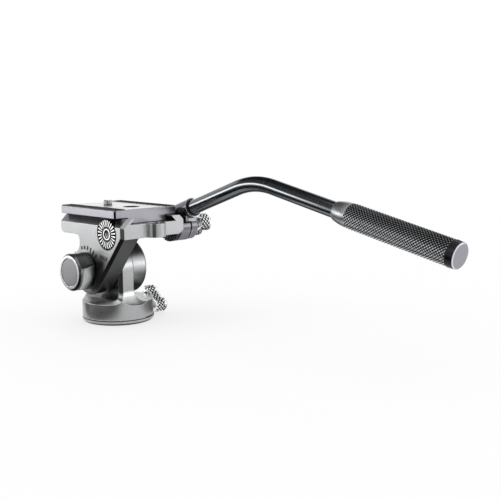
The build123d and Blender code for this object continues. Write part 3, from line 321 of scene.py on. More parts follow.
def markMask(tree, found, tests):
    # the product of a smooth step at each limit: 1 where all hold, 0 outside
    mask = 1.0
    for source, low, high, soft in tests:
        unit = mm if source == "radius" or source.startswith("object") else 1
        for limit, side in ((low, soft), (high, -soft)):
            if limit is not None:
                ends = ((limit - side) * unit, (limit + side) * unit)
                step = mapRange(tree, found[source], *ends, smooth=True)
                mask = calc(tree, "MULTIPLY", mask, step)
    return mask


noiseRange = (0.3, 0.7)              # where a noise mostly stays


def spread(tree, noise, middle, share):
    # the ends of that range become the middle, less and plus the share of it
    return mapRange(tree, noise, *noiseRange, middle * (1 - share), middle * (1 + share))


def addSkin(tree, shader, look, height=None):
    # the grain's bumps, with edges rounded; it gives back the grain and the edges
    grain = useGroup(tree, blastedGrain, Density=look["grain"], Drift=look["drift"])
    edge = useGroup(tree, wearAndEdgeHighlight, Width=look["edgeWidth"] * mm)
    height = calc(tree, "ADD", grain["Height"], height) if height else grain["Height"]
    bump = addNode(tree, "Bump", {
        "Strength": look["bump"], "Distance": look["bumpDepth"] * mm, "Height": height,
        "Normal": edge["Normal"],
    })
    feed(tree, shader, {"Normal": bump.outputs["Normal"]})
    return grain, edge


def mixEdge(tree, edge, look):
    # the colour, and towards edges a share of the edge colour: a lighter edge that is partly wear
    # and partly painted highlight
    share = calc(tree, "MULTIPLY", edge["Mask"], look["edgeShare"])
    return addNode(tree, "Mix", {
        "Factor": share, "A": (*look["colour"], 1), "B": (*look["edgeColour"], 1),
    }, data_type="RGBA").outputs["Result"]


def newMaterial(name):
    material = bpy.data.materials.new(name)
    material.use_nodes = True
    return material, material.node_tree, material.node_tree.nodes["Principled BSDF"]


# What a metal finish has unless it says otherwise, with lengths in millimetres
plainMetal = {
    "drift": 0.06, "edgeWidth": 0.25, "edgeShare": 0.6, "bumpDepth": 0.02, "roughSpread": 0.12,
    "grain": 2400, "bump": 0.12, "ior": 1.5, "marks": (), "markAxis": None,
}


def metalFinish(name, changes):
    # grained metal with lighter edges, partly wear and partly painted highlight; its colour is
    # scaled by the tones of its grain, its painted facet shade, lathe lines, marks (most of them
    # painted shade or highlight) and painted knurl highlight and shade one after the other, and
    # each dull mark lowers the metallic share
    look = {**plainMetal, **changes}
    material, tree, shader = newMaterial(name)
    lathe = None
    if "axis" in look:
        lathe = addNode(tree, "TexNoise", {
            "W": readAxis(tree, look["axis"])[look["linesOver"]], "Scale": look["lines"],
            "Detail": 1.0,
        }, noise_dimensions="1D").outputs["Fac"]
    grain, edge = addSkin(tree, shader, look, lathe)
    tones = [grain["Tone"]]
    if "speckle" in look:
        tones.append(spread(tree, grain["Height"], 1, look["speckle"]))
    # painted shade on faces that slope up and on undersides
    if "slope" in look:
        facets = useGroup(tree, paintedFacetShade, Slope=look["slope"], Under=look["under"])
        tones.append(facets["Tone"])
    if lathe:
        tones.append(spread(tree, lathe, 1, look["lineTone"]))
    metallic = 1.0
    if look["marks"]:
        found = readSources(tree, look["markAxis"])
        for mark in (marks[label] for label in look["marks"]):
            mask = markMask(tree, found, mark["tests"])
            tones.append(mapRange(tree, mask, 0, 1, 1, mark["tone"]))
            if "dull" in mark:
                shiny = mapRange(tree, mask, 0, 1, 1, 1 - mark["dull"])
                metallic = calc(tree, "MULTIPLY", metallic, shiny)
    if "crest" in look:
        # painted highlight on the crests and painted shade in the valleys, read from the piece's
        # own crest attribute
        crest = addNode(tree, "Attribute", attribute_name="crest").outputs["Fac"]
        tones.append(mapRange(tree, crest, *look["crest"], *look["knurlHighlightAndShade"], smooth=True))
    colour = mixEdge(tree, edge, look)
    for tone in tones:
        colour = vectorCalc(tree, "SCALE", colour, tone)
    feed(tree, shader, {
        "Base Color": colour, "Metallic": metallic, "IOR": look["ior"],
        "Roughness": spread(tree, grain["Patch"], look["roughness"], look["roughSpread"]),
    })
    return material


softSkin = {"edgeWidth": 0.15, "edgeShare": 1.0, "bump": 0.3, "bumpDepth": 0.02}


def softFinish(name, changes):
    # plastic or rubber with a faint moulded grain: its colour is scaled by the grain's tone
    look = {**softSkin, **changes}
    material, tree, shader = newMaterial(name)
    grain, edge = addSkin(tree, shader, look)
    colour = vectorCalc(tree, "SCALE", mixEdge(tree, edge, look), grain["Tone"])
    feed(tree, shader, {"Base Color": colour, "Roughness": look["roughness"]})
    return material


def clearFinish(name, look):
    # see-through body with faint streaks in its colour
    material, tree, shader = newMaterial(name)
    grain = useGroup(tree, blastedGrain, Density=look["grain"], Drift=look["drift"])
    feed(tree, shader, {
        "Base Color": vectorCalc(tree, "SCALE", look["colour"], grain["Tone"]),
        "Roughness": look["roughness"], "IOR": look["ior"], "Transmission Weight": look["clear"],
    })
    return material


satin = {
    "colour": (0.43, 0.435, 0.44), "edgeColour": (0.92, 0.93, 0.94), "edgeShare": 0.85,
    "edgeWidth": 0.5, "roughness": 0.33, "grain": 1500, "bump": 0.5, "bumpDepth": 0.06,
    "slope": 0.22, "under": 0.80, "drift": 0.16, "speckle": 0.16,
    "marks": ("rearChamferShade", "rosetteRing", "knobShade"), "markAxis": rosetteAxis,
}
finishes = {
    "satin_titanium": metalFinish("satinTitanium", satin),
    "clamp_anodised": metalFinish("clampAnodised", {
        "colour": (0.165, 0.163, 0.178), "edgeColour": (0.75, 0.75, 0.80), "edgeShare": 0.8,
        "edgeWidth": 0.45, "roughness": 0.24, "grain": 1800, "bump": 0.2, "bumpDepth": 0.04,
        "drift": 0.12, "marks": ("barrelGapShade", "barrelLowLight", "webBlockLight", "webShadowLine"),
    }),
    "gunmetal_knob": metalFinish("gunmetalKnob", {
        "colour": (0.150, 0.155, 0.151), "edgeColour": (0.40, 0.41, 0.41), "edgeWidth": 0.4,
        "roughness": 0.26, "grain": 2200, "bump": 0.2,
        "axis": tiltAxis, "linesOver": "Along", "lines": 2600, "lineTone": 0.10,
        "marks": ("knobFace", "knobScallopHighlight"), "markAxis": tiltAxis,
    }),
    "knob_inlay": metalFinish("knobInlay", {
        "colour": (0.36, 0.36, 0.375), "edgeColour": (0.7, 0.7, 0.72), "edgeShare": 0.5,
        "roughness": 0.36, "grain": 2200,
        "axis": tiltAxis, "linesOver": "Radius", "lines": 3800, "lineTone": 0.05,
    }),
    "knurled_silver": metalFinish("knurledSilver", {
        "colour": (0.55, 0.555, 0.56), "edgeColour": (0.65, 0.66, 0.67), "edgeShare": 0.1,
        "edgeWidth": 0.05, "roughness": 0.24, "grain": 3200, "bump": 0.10,
        "crest": (0.30, 0.50), "knurlHighlightAndShade": (0.01, 1.75),
    }),
    "plate_anodised": metalFinish("plateAnodised", {
        "colour": (0.33, 0.325, 0.355), "edgeColour": (0.85, 0.85, 0.88), "edgeShare": 0.8,
        "edgeWidth": 0.4, "roughness": 0.30, "grain": 1700, "bump": 0.3, "bumpDepth": 0.04,
        "slope": 0.0, "under": 0.7, "drift": 0.10,
        "marks": ("grooveShade", "plateChamferShade", "holeShade"), "markAxis": plateHole,
    }),
    "tube_gloss": metalFinish("tubeGloss", {
        "colour": (0.165, 0.175, 0.185), "edgeColour": (0.4, 0.4, 0.41), "edgeShare": 0.3,
        "edgeWidth": 0.1, "roughness": 0.13, "grain": 1400, "bump": 0.04, "drift": 0.08,
    }),
    "grip_knurl": metalFinish("gripKnurl", {
        "colour": (0.30, 0.31, 0.32), "edgeColour": (0.4, 0.41, 0.42), "edgeShare": 0.1,
        "edgeWidth": 0.05, "roughness": 0.26, "grain": 3000, "bump": 0.08,
        "crest": (0.15, 0.70), "knurlHighlightAndShade": (0.03, 2.4),
    }),
    "cap_satin": metalFinish("capSatin", {
        "colour": (0.33, 0.325, 0.355), "edgeColour": (0.8, 0.8, 0.83), "edgeShare": 0.3,
        "edgeWidth": 0.3, "roughness": 0.32, "grain": 2200,
        "axis": gripAxis, "linesOver": "Radius", "lines": 3400, "lineTone": 0.05,
        "marks": ("capRimShade", "capLineHighlight"), "markAxis": gripAxis,
    }),
    "steel": metalFinish("turnedSteel", {
        "colour": (0.60, 0.595, 0.585), "edgeColour": (0.80, 0.80, 0.79), "roughness": 0.24,
        "bump": 0.10,
        "axis": tiltAxis, "linesOver": "Along", "lines": 2200, "lineTone": 0.05,
    }),
    "rosette_steel": metalFinish("toothedSteel", {
        "colour": (0.09, 0.09, 0.10), "edgeColour": (0.4, 0.4, 0.42), "edgeShare": 0.5,
        "edgeWidth": 0.2, "roughness": 0.30, "bump": 0.15,
    }),
    "black_fasteners": metalFinish("blackFasteners", {
        "colour": (0.045, 0.045, 0.05), "edgeColour": (0.20, 0.20, 0.21), "roughness": 0.36,
        "grain": 2600,
    }),
    "bronze": metalFinish("bearingBronze", {
        "colour": (0.60, 0.43, 0.21), "edgeColour": (0.78, 0.62, 0.38), "roughness": 0.30,
        "bump": 0.15,
    }),
    "aluminium_inner": metalFinish("machinedAluminium", {
        "colour": (0.62, 0.62, 0.63), "edgeColour": (0.82, 0.82, 0.83), "roughness": 0.28,
        "axis": ((0, 0, 0), (0, 0, 1)), "linesOver": "Radius", "lines": 3000, "lineTone": 0.06,
    }),
    "slide_plastic": softFinish("slidePlastic", {
        "colour": (0.12, 0.12, 0.12), "edgeColour": (0.2, 0.2, 0.2), "roughness": 0.5,
        "grain": 2400, "drift": 0.1,
    }),
    "black_rubber": softFinish("blackRubber", {
        "colour": (0.018, 0.018, 0.019), "edgeColour": (0.05, 0.05, 0.05), "roughness": 0.62,
        "grain": 2200, "drift": 0.15,
    }),
    "level_cup": softFinish("levelCup", {
        "colour": (0.012, 0.012, 0.012), "edgeColour": (0.04, 0.04, 0.04), "roughness": 0.45,
        "grain": 2400, "drift": 0.1,
    }),
    "level_liquid": clearFinish("levelLiquid", {
        "colour": (0.62, 0.85, 0.16), "roughness": 0.05, "ior": 1.36, "clear": 0.55,
        "grain": 300, "drift": 0.08,
    }),
    "level_glass": clearFinish("levelGlass", {
        "colour": (0.96, 0.99, 0.96), "roughness": 0.02, "ior": 1.49, "clear": 1.0,
        "grain": 300, "drift": 0.02,
    }),
}
# Pieces whose own finish is a variant of their slot's
variants = {
    "base_plate": metalFinish("footTitanium", {**satin, "marks": ("seamShade",)}),
    "pan_housing": metalFinish("housingTitanium", {
        **satin, "roughness": 0.29, "bump": 0.28, "speckle": 0.12, "drift": 0.08,
        "marks": ("neckChamferShade", "drumTopShade", "neckFlareHighlight", "shoulderShade"),
    }),
    "handle_ferrule": metalFinish("ferruleTitanium", {
        **satin, "colour": (0.38, 0.385, 0.39), "bump": 0.15, "speckle": 0.05,
        "slope": 0.0, "under": 0.2, "marks": (),
    }),
    "rosette_left": metalFinish("silverTeeth", {
        "colour": (0.95, 0.95, 0.96), "edgeColour": (0.97, 0.97, 0.97), "edgeShare": 0.2,
        "edgeWidth": 0.1, "roughness": 0.28, "bump": 0.15,
        "marks": ("toothGapShade", "hubRing"), "markAxis": rosetteAxis,
    }),
}
for row in frame["record"]["subparts"]:
    node = nodes[row["node"]]
    if not node.material_slots:
        node.data.materials.append(None)
    for slot in node.material_slots:
        slot.material = variants.get(row["node"], finishes[row["material_slot"]])
print("finishes:", len(finishes) + len(variants))


def settle(name, mesh, body, slot, replaced=()):
    # the mesh becomes an object of its slot's finish that rides on its body
    mesh.materials.clear()
    mesh.materials.append(finishes[slot])
    piece = addObject(name, mesh)
    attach(piece, body)
    if replaced:
        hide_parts(*replaced)
    print("piece", name, len(mesh.polygons), "faces")


def facingOut(points, faces):
    # a closed shell's faces, turned round if the volume that they enclose comes out negative:
    # the sum of a . (b x c) over the triangles of each face
    volume = 0.0
    for part in faces:
        for k in range(1, part.shape[1] - 1):
            a, b, c = (points[part[:, n]] for n in (0, k, k + 1))
            volume += np.sum(a * np.cross(b, c))
    return [part[:, ::-1] for part in faces] if volume < 0 else faces


sharpAngle = math.radians(32)        # a smooth piece keeps its edges where they turn by more


def buildPiece(name, points, faces, body, slot, replaced=(), crest=None, smooth=False):
    # one mesh from closed shells, with a crest value at each point if it is knurled
    points = points.reshape(-1, 3)
    faces = facingOut(points, faces)
    mesh = bpy.data.meshes.new(name)
    mesh.from_pydata(points.tolist(), [], [row for part in faces for row in part.tolist()])
    if crest is not None:
        layer = mesh.attributes.new("crest", "FLOAT", "POINT")
        layer.data.foreach_set("value", crest.astype(np.float32).ravel())
    mesh.validate()
    if smooth:
        mesh.shade_smooth()
        mesh.set_sharp_from_angle(angle=sharpAngle)
    settle(name, mesh, body, slot, replaced)


knurlSteps = 6           # grid steps across one diamond of a knurl


def gridFaces(rows, columns, wrapRows=False, knurled=False):
    # quads between neighbours of a grid whose columns close on themselves; a knurled grid is split
    # along the ridge lines of its diamonds, so that their facets stay flat
    rings = rows if wrapRows else rows - 1
    j, i = (part.ravel() for part in np.indices((rings, columns)))
    nextJ, nextI = (j + 1) % rows, (i + 1) % columns
    corner, beside = j * columns + i, j * columns + nextI
    above, across = nextJ * columns + i, nextJ * columns + nextI
    if not knurled:
        return [np.stack([corner, beside, across, above], axis=1)]
    turned = ((i + j + 1) % (knurlSteps // 2) == 0)[:, None]
    halves = [[(corner, beside, above), (corner, beside, across)],
              [(beside, across, above), (corner, across, above)]]
    return [np.where(turned, np.stack(one, axis=1), np.stack(two, axis=1)) for one, two in halves]


def poleShell(points, low, high, knurled=False):
    # a grid of points whose first and last rows are closed by fans to a low and a high point
    rows, columns = points.shape[:2]
    here = np.arange(columns)
    there = (here + 1) % columns
    last, count = (rows - 1) * columns, rows * columns
    faces = gridFaces(rows, columns, knurled=knurled)
    faces.append(np.stack([there, here, np.full(columns, count)], axis=1))
    faces.append(np.stack([last + here, last + there, np.full(columns, count + 1)], axis=1))
    return np.concatenate([points.reshape(-1, 3), [low, high]]), faces


def axesFrom(origin, normal, across):
    # a local frame: its origin, and three unit vectors: across, its partner and the normal
    normal = np.array(normal, dtype=float) / np.linalg.norm(normal)
    across = np.array(across, dtype=float)
    across = across - normal * np.dot(across, normal)
    across /= np.linalg.norm(across)
    return np.array(origin, dtype=float), across, np.cross(normal, across), normal


def turnedPoints(place, radii, heights, columns):
    # a profile of radius and height carried round the local frame's normal; either may have its own
    # value at each column
    origin, across, partner, normal = place
    angle = np.linspace(0, fullTurn, columns, endpoint=False)
    ring = np.cos(angle)[:, None] * across + np.sin(angle)[:, None] * partner
    radii, heights = (np.reshape(value, (len(value), -1, 1)) for value in (radii, heights))
    return origin + radii * ring + heights * normal


def turnedShell(place, radii, heights, columns, knurled=False):
    # the points and faces of a closed profile carried round
    points = turnedPoints(place, radii, heights, columns)
    return points.reshape(-1, 3), gridFaces(len(heights), columns, True, knurled)


def diamond(a, b, flat):
    # 1 on the crests and 0 along two crossing families of grooves that lie where a or b is whole
    groove = np.maximum(np.abs(a % 1 - 0.5), np.abs(b % 1 - 0.5)) * 2
    return 1 - np.clip((groove - flat) / (1 - flat), 0, 1)


# Grip sleeve with its diamond pattern
gripSleeve = {
    "start": 79.8 * mm, "end": 148.4 * mm, "radius": 7.8 * mm, "bore": 5.06 * mm,
    "bevel": 0.35 * mm, "plainEnd": 0.3 * mm, "plainShine": 0.25,
    "cellsRound": 25, "cellsAlong": 34, "depth": 0.55 * mm, "flat": 0.08,
    "strokePeak": 1.25, "strokeFall": 2.5, "valleyShine": 0.35,
    "topShade": 0.5, "topRise": 1.5, "topShift": 0.1,
}


def makeGripSleeve(g):
    # the radius is the sleeve's, less the depth of the diamond pattern over angle and length
    columns, rows = g["cellsRound"] * knurlSteps, g["cellsAlong"] * knurlSteps + 1
    along = np.linspace(g["start"] + g["plainEnd"], g["end"] - g["plainEnd"], rows)
    j, i = np.indices((rows, columns))
    rising, falling = (i + j) / knurlSteps, (i - j) / knurlSteps
    crest = diamond(rising, falling, g["flat"])
    radii = g["radius"] - g["depth"] * (1 - crest)
    # painted highlight along the ridge lines of one family, painted shade in the valleys, and
    # painted shade on the sleeve's upper side, which is darker than its lower side
    stroke = np.clip(g["strokePeak"] - g["strokeFall"] * np.abs(rising % 1 - 0.5), 0, 1)
    top = np.clip(np.sin(i / columns * fullTurn) * g["topRise"] + g["topShift"], 0, 1)
    shine = stroke * (g["valleyShine"] + (1 - g["valleyShine"]) * crest) * (1 - g["topShade"] * top)
    radii[0] = radii[-1] = g["radius"] - g["bevel"]
    inner = np.full((1, columns), g["bore"])
    radii = np.concatenate([inner, radii[:1], radii, radii[-1:], inner])
    heights = np.concatenate([[g["start"]] * 2, along, [g["end"]] * 2])
    plain = np.full((2, columns), g["plainShine"])
    place = axesFrom(*gripAxis, (1, 0, 0))
    shell = turnedShell(place, radii, heights, columns, knurled=True)
    buildPiece("gripSleeve", *shell, "pan_handle", "grip_knurl", ["handle_grip"],
               np.concatenate([plain, shine, plain]))


makeGripSleeve(gripSleeve)

# Wing knobs, one pattern for the three locks; the handle's has larger lobes
wingKnob = {
    "lobe": 4.8 * mm, "offset": 6.9 * mm, "waist": 3.7 * mm, "samples": 801, "smoothing": 60,
    "height": 12.0 * mm, "footShare": 0.6, "flareShare": 0.36, "corner": 3.0 * mm,
    "cornerDepth": 0.98, "rim": 0.8 * mm, "rimRows": 5, "dish": 0.35 * mm,
    "dishRings": (0.8, 0.55, 0.3), "cellsRound": 20, "cellsUp": 4, "depth": 0.42 * mm,
    "flat": 0.12, "fadeRows": 3, "fadeHeight": 0.8 * mm, "plainCrest": 0.39,
    "collar": 6.2 * mm, "collarHeight": 1.8 * mm, "collarBevel": 0.4 * mm, "neck": 4.6 * mm,
    "collarColumns": 96, "collarCrest": 0.42,
}
handleWing = {**wingKnob, "lobe": 6.3 * mm, "offset": 5.7 * mm}
# name, body, replaced node, foot in millimetres, lean in degrees, pattern
wingPlaces = [
    ("panLockWing", "pan_lock", "pan_lock_knob", (25.45, 0, 9.9), 40, wingKnob),
    ("plateLockWing", "plate_lock", "plate_lock_knob", (26.1, 8, 68.4), 0, wingKnob),
    ("handleLockWing", "handle_lock", "handle_lock_knob", (46.4, -25, 64.5), -24, handleWing),
]


def wingOutline(w, columns):
    # two round lobes joined by a waist; the corner between them is smoothed by averaging with the
    # neighbours, then points are spread evenly along the length
    half = w["offset"] + w["lobe"]
    x = half * np.cos(np.linspace(0, math.pi, w["samples"]))
    circle = np.sqrt(np.clip(w["lobe"] ** 2 - (np.abs(x) - w["offset"]) ** 2, 0, None))
    y = np.where(np.abs(x) < w["offset"], np.maximum(circle, w["waist"]), circle)
    upper = np.stack([x, y], axis=1)[:-1]
    outline = np.concatenate([upper, -upper])
    for _ in range(w["smoothing"]):
        outline = (np.roll(outline, 1, axis=0) + outline * 2 + np.roll(outline, -1, axis=0)) / 4
    closed = np.concatenate([outline, outline[:1]])
    steps = np.linalg.norm(np.diff(closed, axis=0), axis=1)
    length = np.concatenate([[0], np.cumsum(steps)])
    even = np.linspace(0, length[-1], columns, endpoint=False)
    return np.stack([np.interp(even, length, closed[:, k]) for k in (0, 1)], axis=1)


def makeWingKnob(name, body, replaced, foot, lean, w):
    # the outline carried up the axis, narrowed towards its foot and rounded at its corners, with a
    # diamond pattern pressed in along the outline's normal, a dished end and a collar ring
    columns, steps = w["cellsRound"] * knurlSteps, w["cellsUp"] * knurlSteps
    outline = wingOutline(w, columns)
    tangent = np.roll(outline, -1, axis=0) - np.roll(outline, 1, axis=0)
    outward = np.stack([tangent[:, 1], -tangent[:, 0]], axis=1)
    outward /= np.linalg.norm(outward, axis=1)[:, None]
    wallTop = w["height"] - w["rim"]
    turn = np.linspace(0, math.pi / 2, w["rimRows"] + 1)[1:]
    wall = np.linspace(0, wallTop, steps + 1)
    heights = np.concatenate([wall, wallTop + w["rim"] * np.sin(turn)])
    inset = np.concatenate([np.zeros(steps + 1), w["rim"] * (1 - np.cos(turn))])
    flare = np.clip(heights / (w["height"] * w["flareShare"]), 0, 1)
    drop = np.clip(heights - (w["height"] - w["corner"]), 0, w["corner"]) / w["corner"]
    rounding = (1 - np.sqrt(1 - w["cornerDepth"] * drop ** 2)) * w["corner"]
    span = w["footShare"] + (1 - w["footShare"]) * np.sin(flare * math.pi / 2)
    span = span - rounding / (w["offset"] + w["lobe"])
    j, i = np.indices((len(heights), columns))
    crest = diamond((i + j) / knurlSteps, (i - j) / knurlSteps, w["flat"])
    fade = np.clip((steps - 2 - j) / w["fadeRows"], 0, 1)
    fade = fade * np.clip((heights[:, None] - w["collarHeight"]) / w["fadeHeight"], 0, 1)
    sink = inset[:, None] + w["depth"] * (1 - crest) * fade
    crest = 1 - (1 - crest) * fade
    flat = outline * np.stack([span, np.ones_like(span)], axis=1)[:, None]
    flat = flat - outward * sink[..., None]
    rings = np.array(w["dishRings"])
    flat = np.concatenate([flat, flat[-1] * rings[:, None, None]])
    heights = np.concatenate([heights, w["height"] - w["dish"] * (1 - rings ** 2)])
    across = (0, math.cos(math.radians(lean)), math.sin(math.radians(lean)))
    place = axesFrom(np.array(foot) * mm, (1, 0, 0), across)
    points = place[0] + flat[..., :1] * place[1] + flat[..., 1:] * place[2]
    points = points + heights[:, None, None] * place[3]
    crown = place[0] + place[3] * (w["height"] - w["dish"])
    points, faces = poleShell(points, place[0], crown, knurled=True)
    # the collar ring is a second closed shell
    c, b, h = w["collar"], w["collarBevel"], w["collarHeight"]
    profile = np.array([(w["neck"], 0), (c - b, 0), (c, b), (c, h - b), (c - b, h), (w["neck"], h)])
    ring, ringFaces = turnedShell(place, *profile.T, w["collarColumns"])
    ringFaces = [part + len(points) for part in facingOut(ring, ringFaces)]
    faces = facingOut(points, faces) + ringFaces
    plain = np.full(len(points) - crest.size, w["plainCrest"])
    crest = np.concatenate([crest.ravel(), plain, np.full(len(ring), w["collarCrest"])])
    buildPiece(name, np.concatenate([points, ring]), faces, body, "knurled_silver", [replaced],
               crest)


for row in wingPlaces:
    makeWingKnob(*row)

# Drag knob with two finger scallops that widen towards its heel
dragKnob = {
    "heel": 26.4 * mm, "face": 39.5 * mm, "radius": 12.7 * mm, "heelBevel": 0.8 * mm,
    "rimBevel": 1.3 * mm, "pocket": 9.7 * mm, "pocketFloor": 38.5 * mm, "bore": 3.3 * mm,
    "columns": 180, "sideRows": 56, "turn": -24.0, "scallops": 2, "end": 36.8 * mm,
    "step": 0.9 * mm, "rimDepth": 3.5 * mm, "heelDepth": 2.5 * mm,
    "rimHalf": 37.0, "heelHalf": 52.0,               # half a scallop's width, in degrees
}


def makeDragKnob(k):
    # a turned profile whose side is pressed in by a depth that falls with the square of the angle
    # from each scallop's middle, and stops in a smooth step short of the rim
    side = np.linspace(k["heel"] + k["heelBevel"], k["face"] - k["rimBevel"], k["sideRows"])
    heights = np.concatenate([[k["heel"]] * 2, side, [k["face"]] * 2, [k["pocketFloor"]] * 2])
    radii = np.concatenate([
        [k["bore"], k["radius"] - k["heelBevel"]], np.full(len(side), k["radius"]),
        [k["radius"] - k["rimBevel"], k["pocket"], k["pocket"], k["bore"]],
    ])
    angle = np.linspace(0, 360, k["columns"], endpoint=False)
    pitch = 360 / k["scallops"]
    away = (angle - k["turn"] + pitch / 2) % pitch - pitch / 2
    share = np.clip((k["end"] - heights) / (k["end"] - k["heel"]), 0, 1)[:, None]
    half = k["rimHalf"] + (k["heelHalf"] - k["rimHalf"]) * share
    deep = k["rimDepth"] + (k["heelDepth"] - k["rimDepth"]) * share
    rise = np.clip((k["end"] - heights) / k["step"], 0, 1)[:, None]
    depth = deep * rise * rise * (3 - 2 * rise) * np.clip(1 - (away / half) ** 2, 0, 1)
    radii = np.minimum(radii[:, None], k["radius"] - depth)
    place = axesFrom(tiltAxis[0], (-1, 0, 0), (0, -1, 0))
    shell = turnedShell(place, radii, heights, k["columns"])
    buildPiece("dragKnobShell", *shell, "drag_control", "gunmetal_knob", ["drag_knob"],
               smooth=True)


makeDragKnob(dragKnob)

# Camera screw
cameraScrew = {
    "centre": (0, 9.0 * mm, 0), "headRadius": 7.5 * mm, "headLow": 72.1 * mm,
    "headHigh": 75.0 * mm, "headBevel": 0.3 * mm, "neck": 2.4 * mm, "neckTop": 80.9 * mm,
    "radius": 3.175 * mm, "top": 84.1 * mm, "bevel": 0.6 * mm, "pitch": 1.27 * mm,
    "depth": 0.62 * mm, "flank": 1.25, "rootStep": 0.3 * mm, "rootSlope": 2,
    "columns": 96, "rowsPerPitch": 12,
}


def makeCameraScrew(s):
    # head and neck are turned; the stud's radius follows a V groove that climbs one pitch a turn
    columns, b = s["columns"], s["headBevel"]
    angle = np.linspace(0, 1, columns, endpoint=False)
    profile = np.array([
        (s["headRadius"] - b, s["headLow"]), (s["headRadius"], s["headLow"] + b),
        (s["headRadius"], s["headHigh"] - b), (s["headRadius"] - b, s["headHigh"]),
        (s["neck"], s["headHigh"]), (s["neck"], s["neckTop"]),
    ])
    rows = int((s["top"] - s["neckTop"]) / s["pitch"] * s["rowsPerPitch"]) + 1
    climb = np.linspace(s["neckTop"], s["top"], rows)[:, None]
    wave = np.abs((climb / s["pitch"] - angle) % 1 - 0.5) * 2
    radii = s["radius"] - s["depth"] * np.clip(1 - wave * s["flank"], 0, 1)
    radii = np.minimum(radii, s["radius"] - s["bevel"] + (s["top"] - climb))
    root = s["neck"] + s["rootStep"] + (climb - s["neckTop"]) * s["rootSlope"]
    radii = np.minimum(radii, root)
    radii = np.concatenate([np.repeat(profile[:, :1], columns, axis=1), radii])
    heights = np.concatenate([profile[:, 1], climb[:, 0]])
    place = axesFrom(s["centre"], (0, 0, 1), (1, 0, 0))
    low, high = (place[0] + (0, 0, z) for z in (s["headLow"], s["top"]))
    shell = poleShell(turnedPoints(place, radii, heights, columns), low, high)
    buildPiece("cameraScrew", *shell, "camera_stud", "steel", ["camera_screw"])


makeCameraScrew(cameraScrew)

# Inner threads of the round holes: body, slot, start, direction, and radius, pitch and length, with
# lengths in millimetres
threads = {
    "tripodThread": ("base", "steel", (0, 0, 0.9), (0, 0, 1), 4.7625, 1.5875, 10.6),
    "plateThread": ("camera_plate", "plate_anodised", (0, -18, 72), (0, 0, 1), 4.7625, 1.5875, 7.2),
    "rosetteThread": ("tilt_head", "steel", (-25.4, -25, 64.5), (1, 0, 0), 3.0, 1.0, 10.8),
}
threadForm = {
    "rowsPerTurn": 48, "fadeTurns": 2, "fadeLeast": 0.05, "sunk": 0.05 * mm,
    "height": 0.48, "foot": 0.46, "crest": 0.06,     # shares of the pitch
}


def makeThread(name, body, slot, start, direction, radius, pitch, length):
    # a triangular ridge carried along a helix on the wall of a round hole, fading out at both ends
    f = threadForm
    radius, pitch, length = radius * mm, pitch * mm, length * mm
    turns = length / pitch
    t = np.linspace(0, 1, int(turns * f["rowsPerTurn"]))
    angle = t * turns * fullTurn
    origin, across, partner, normal = axesFrom(np.array(start) * mm, direction, (0, 1, 0))
    ring = np.cos(angle)[:, None] * across + np.sin(angle)[:, None] * partner
    fade = np.clip(np.minimum(t, 1 - t) * turns * f["fadeTurns"], f["fadeLeast"], 1)
    wall, tip = np.full(len(t), radius + f["sunk"]), radius - f["height"] * pitch * fade
    foot, crest = np.full(len(t), f["foot"] * pitch), f["crest"] * pitch * fade
    profile = [(wall, -foot), (wall, foot), (tip, crest), (tip, -crest)]
    points = np.stack([
        origin + ring * r[:, None] + (t * length + w)[:, None] * normal for r, w in profile
    ], axis=1)
    cap = np.arange(len(profile))[None]
    caps = [np.roll(cap[:, ::-1], 1), cap + (len(t) - 1) * len(profile)]
    buildPiece(name, points, gridFaces(len(t), len(profile)) + caps, body, slot)


for name, row in threads.items():
    makeThread(name, *row)

# Round spirit level
spiritLevel = {
    "centre": (1.5 * mm, -42.5 * mm, 0), "radius": 4.2 * mm, "low": 67.4 * mm,
    "high": 69.6 * mm, "bubble": 1.55 * mm, "bubbleDepth": 0.7 * mm,
    "shift": (0.35 * mm, -0.2 * mm, 0), "floorShare": 0.5, "middleShare": 0.97,
    "rings": 25, "columns": 72, "glassTop": 70.4 * mm,
    "markRadius": 2.15 * mm, "markWidth": 0.22 * mm, "markHeight": 0.03 * mm,
}


def makeLevelLiquid(v):
    # a disc of liquid whose top has a round dent under the glass: the bubble
    place = axesFrom(v["centre"], (0, 0, 1), (1, 0, 0))
    share = np.linspace(1, 0, v["rings"])[:-1]
    radii = v["radius"] * np.concatenate([[v["floorShare"], 1], share])
    heights = [v["low"]] * 2 + [v["high"]] * len(share)
    points = turnedPoints(place, radii, heights, v["columns"])
    away = points - (place[0] + v["shift"])
    away = np.linalg.norm(away[..., :2], axis=-1) / v["bubble"]
    dent = v["bubbleDepth"] * np.sqrt(np.clip(1 - away ** 2, 0, 1))
    points[2:, :, 2] -= dent[2:]
    dentFloor = v["high"] - v["bubbleDepth"] * v["middleShare"]
    low, middle = (place[0] + (0, 0, z) for z in (v["low"], dentFloor))
    shell = poleShell(points, low, middle)
    buildPiece("levelLiquid", *shell, "tilt_head", "level_liquid", ["level_fluid"])


def makeLevelMark(v):
    # a thin flat ring printed on the glass
    r, w, z, h = v["markRadius"], v["markWidth"], v["glassTop"], v["markHeight"]
    place = axesFrom(v["centre"], (0, 0, 1), (1, 0, 0))
    profile = np.array([(r, z), (r + w, z), (r + w, z + h), (r, z + h)])
    shell = turnedShell(place, *profile.T, v["columns"])
    buildPiece("levelMark", *shell, "tilt_head", "level_cup")


makeLevelLiquid(spiritLevel)
makeLevelMark(spiritLevel)

# Rubber cords let into the grooves of the plate's top
plateCords = {
    "middles": (17.6, 19.35, 21.1, 22.85, 24.6),     # millimetres to each side
    "half": 0.33 * mm, "low": 80.3 * mm, "high": 81.15 * mm,
    "rear": -34.1 * mm, "front": 28.3 * mm, "arcs": 8,
}


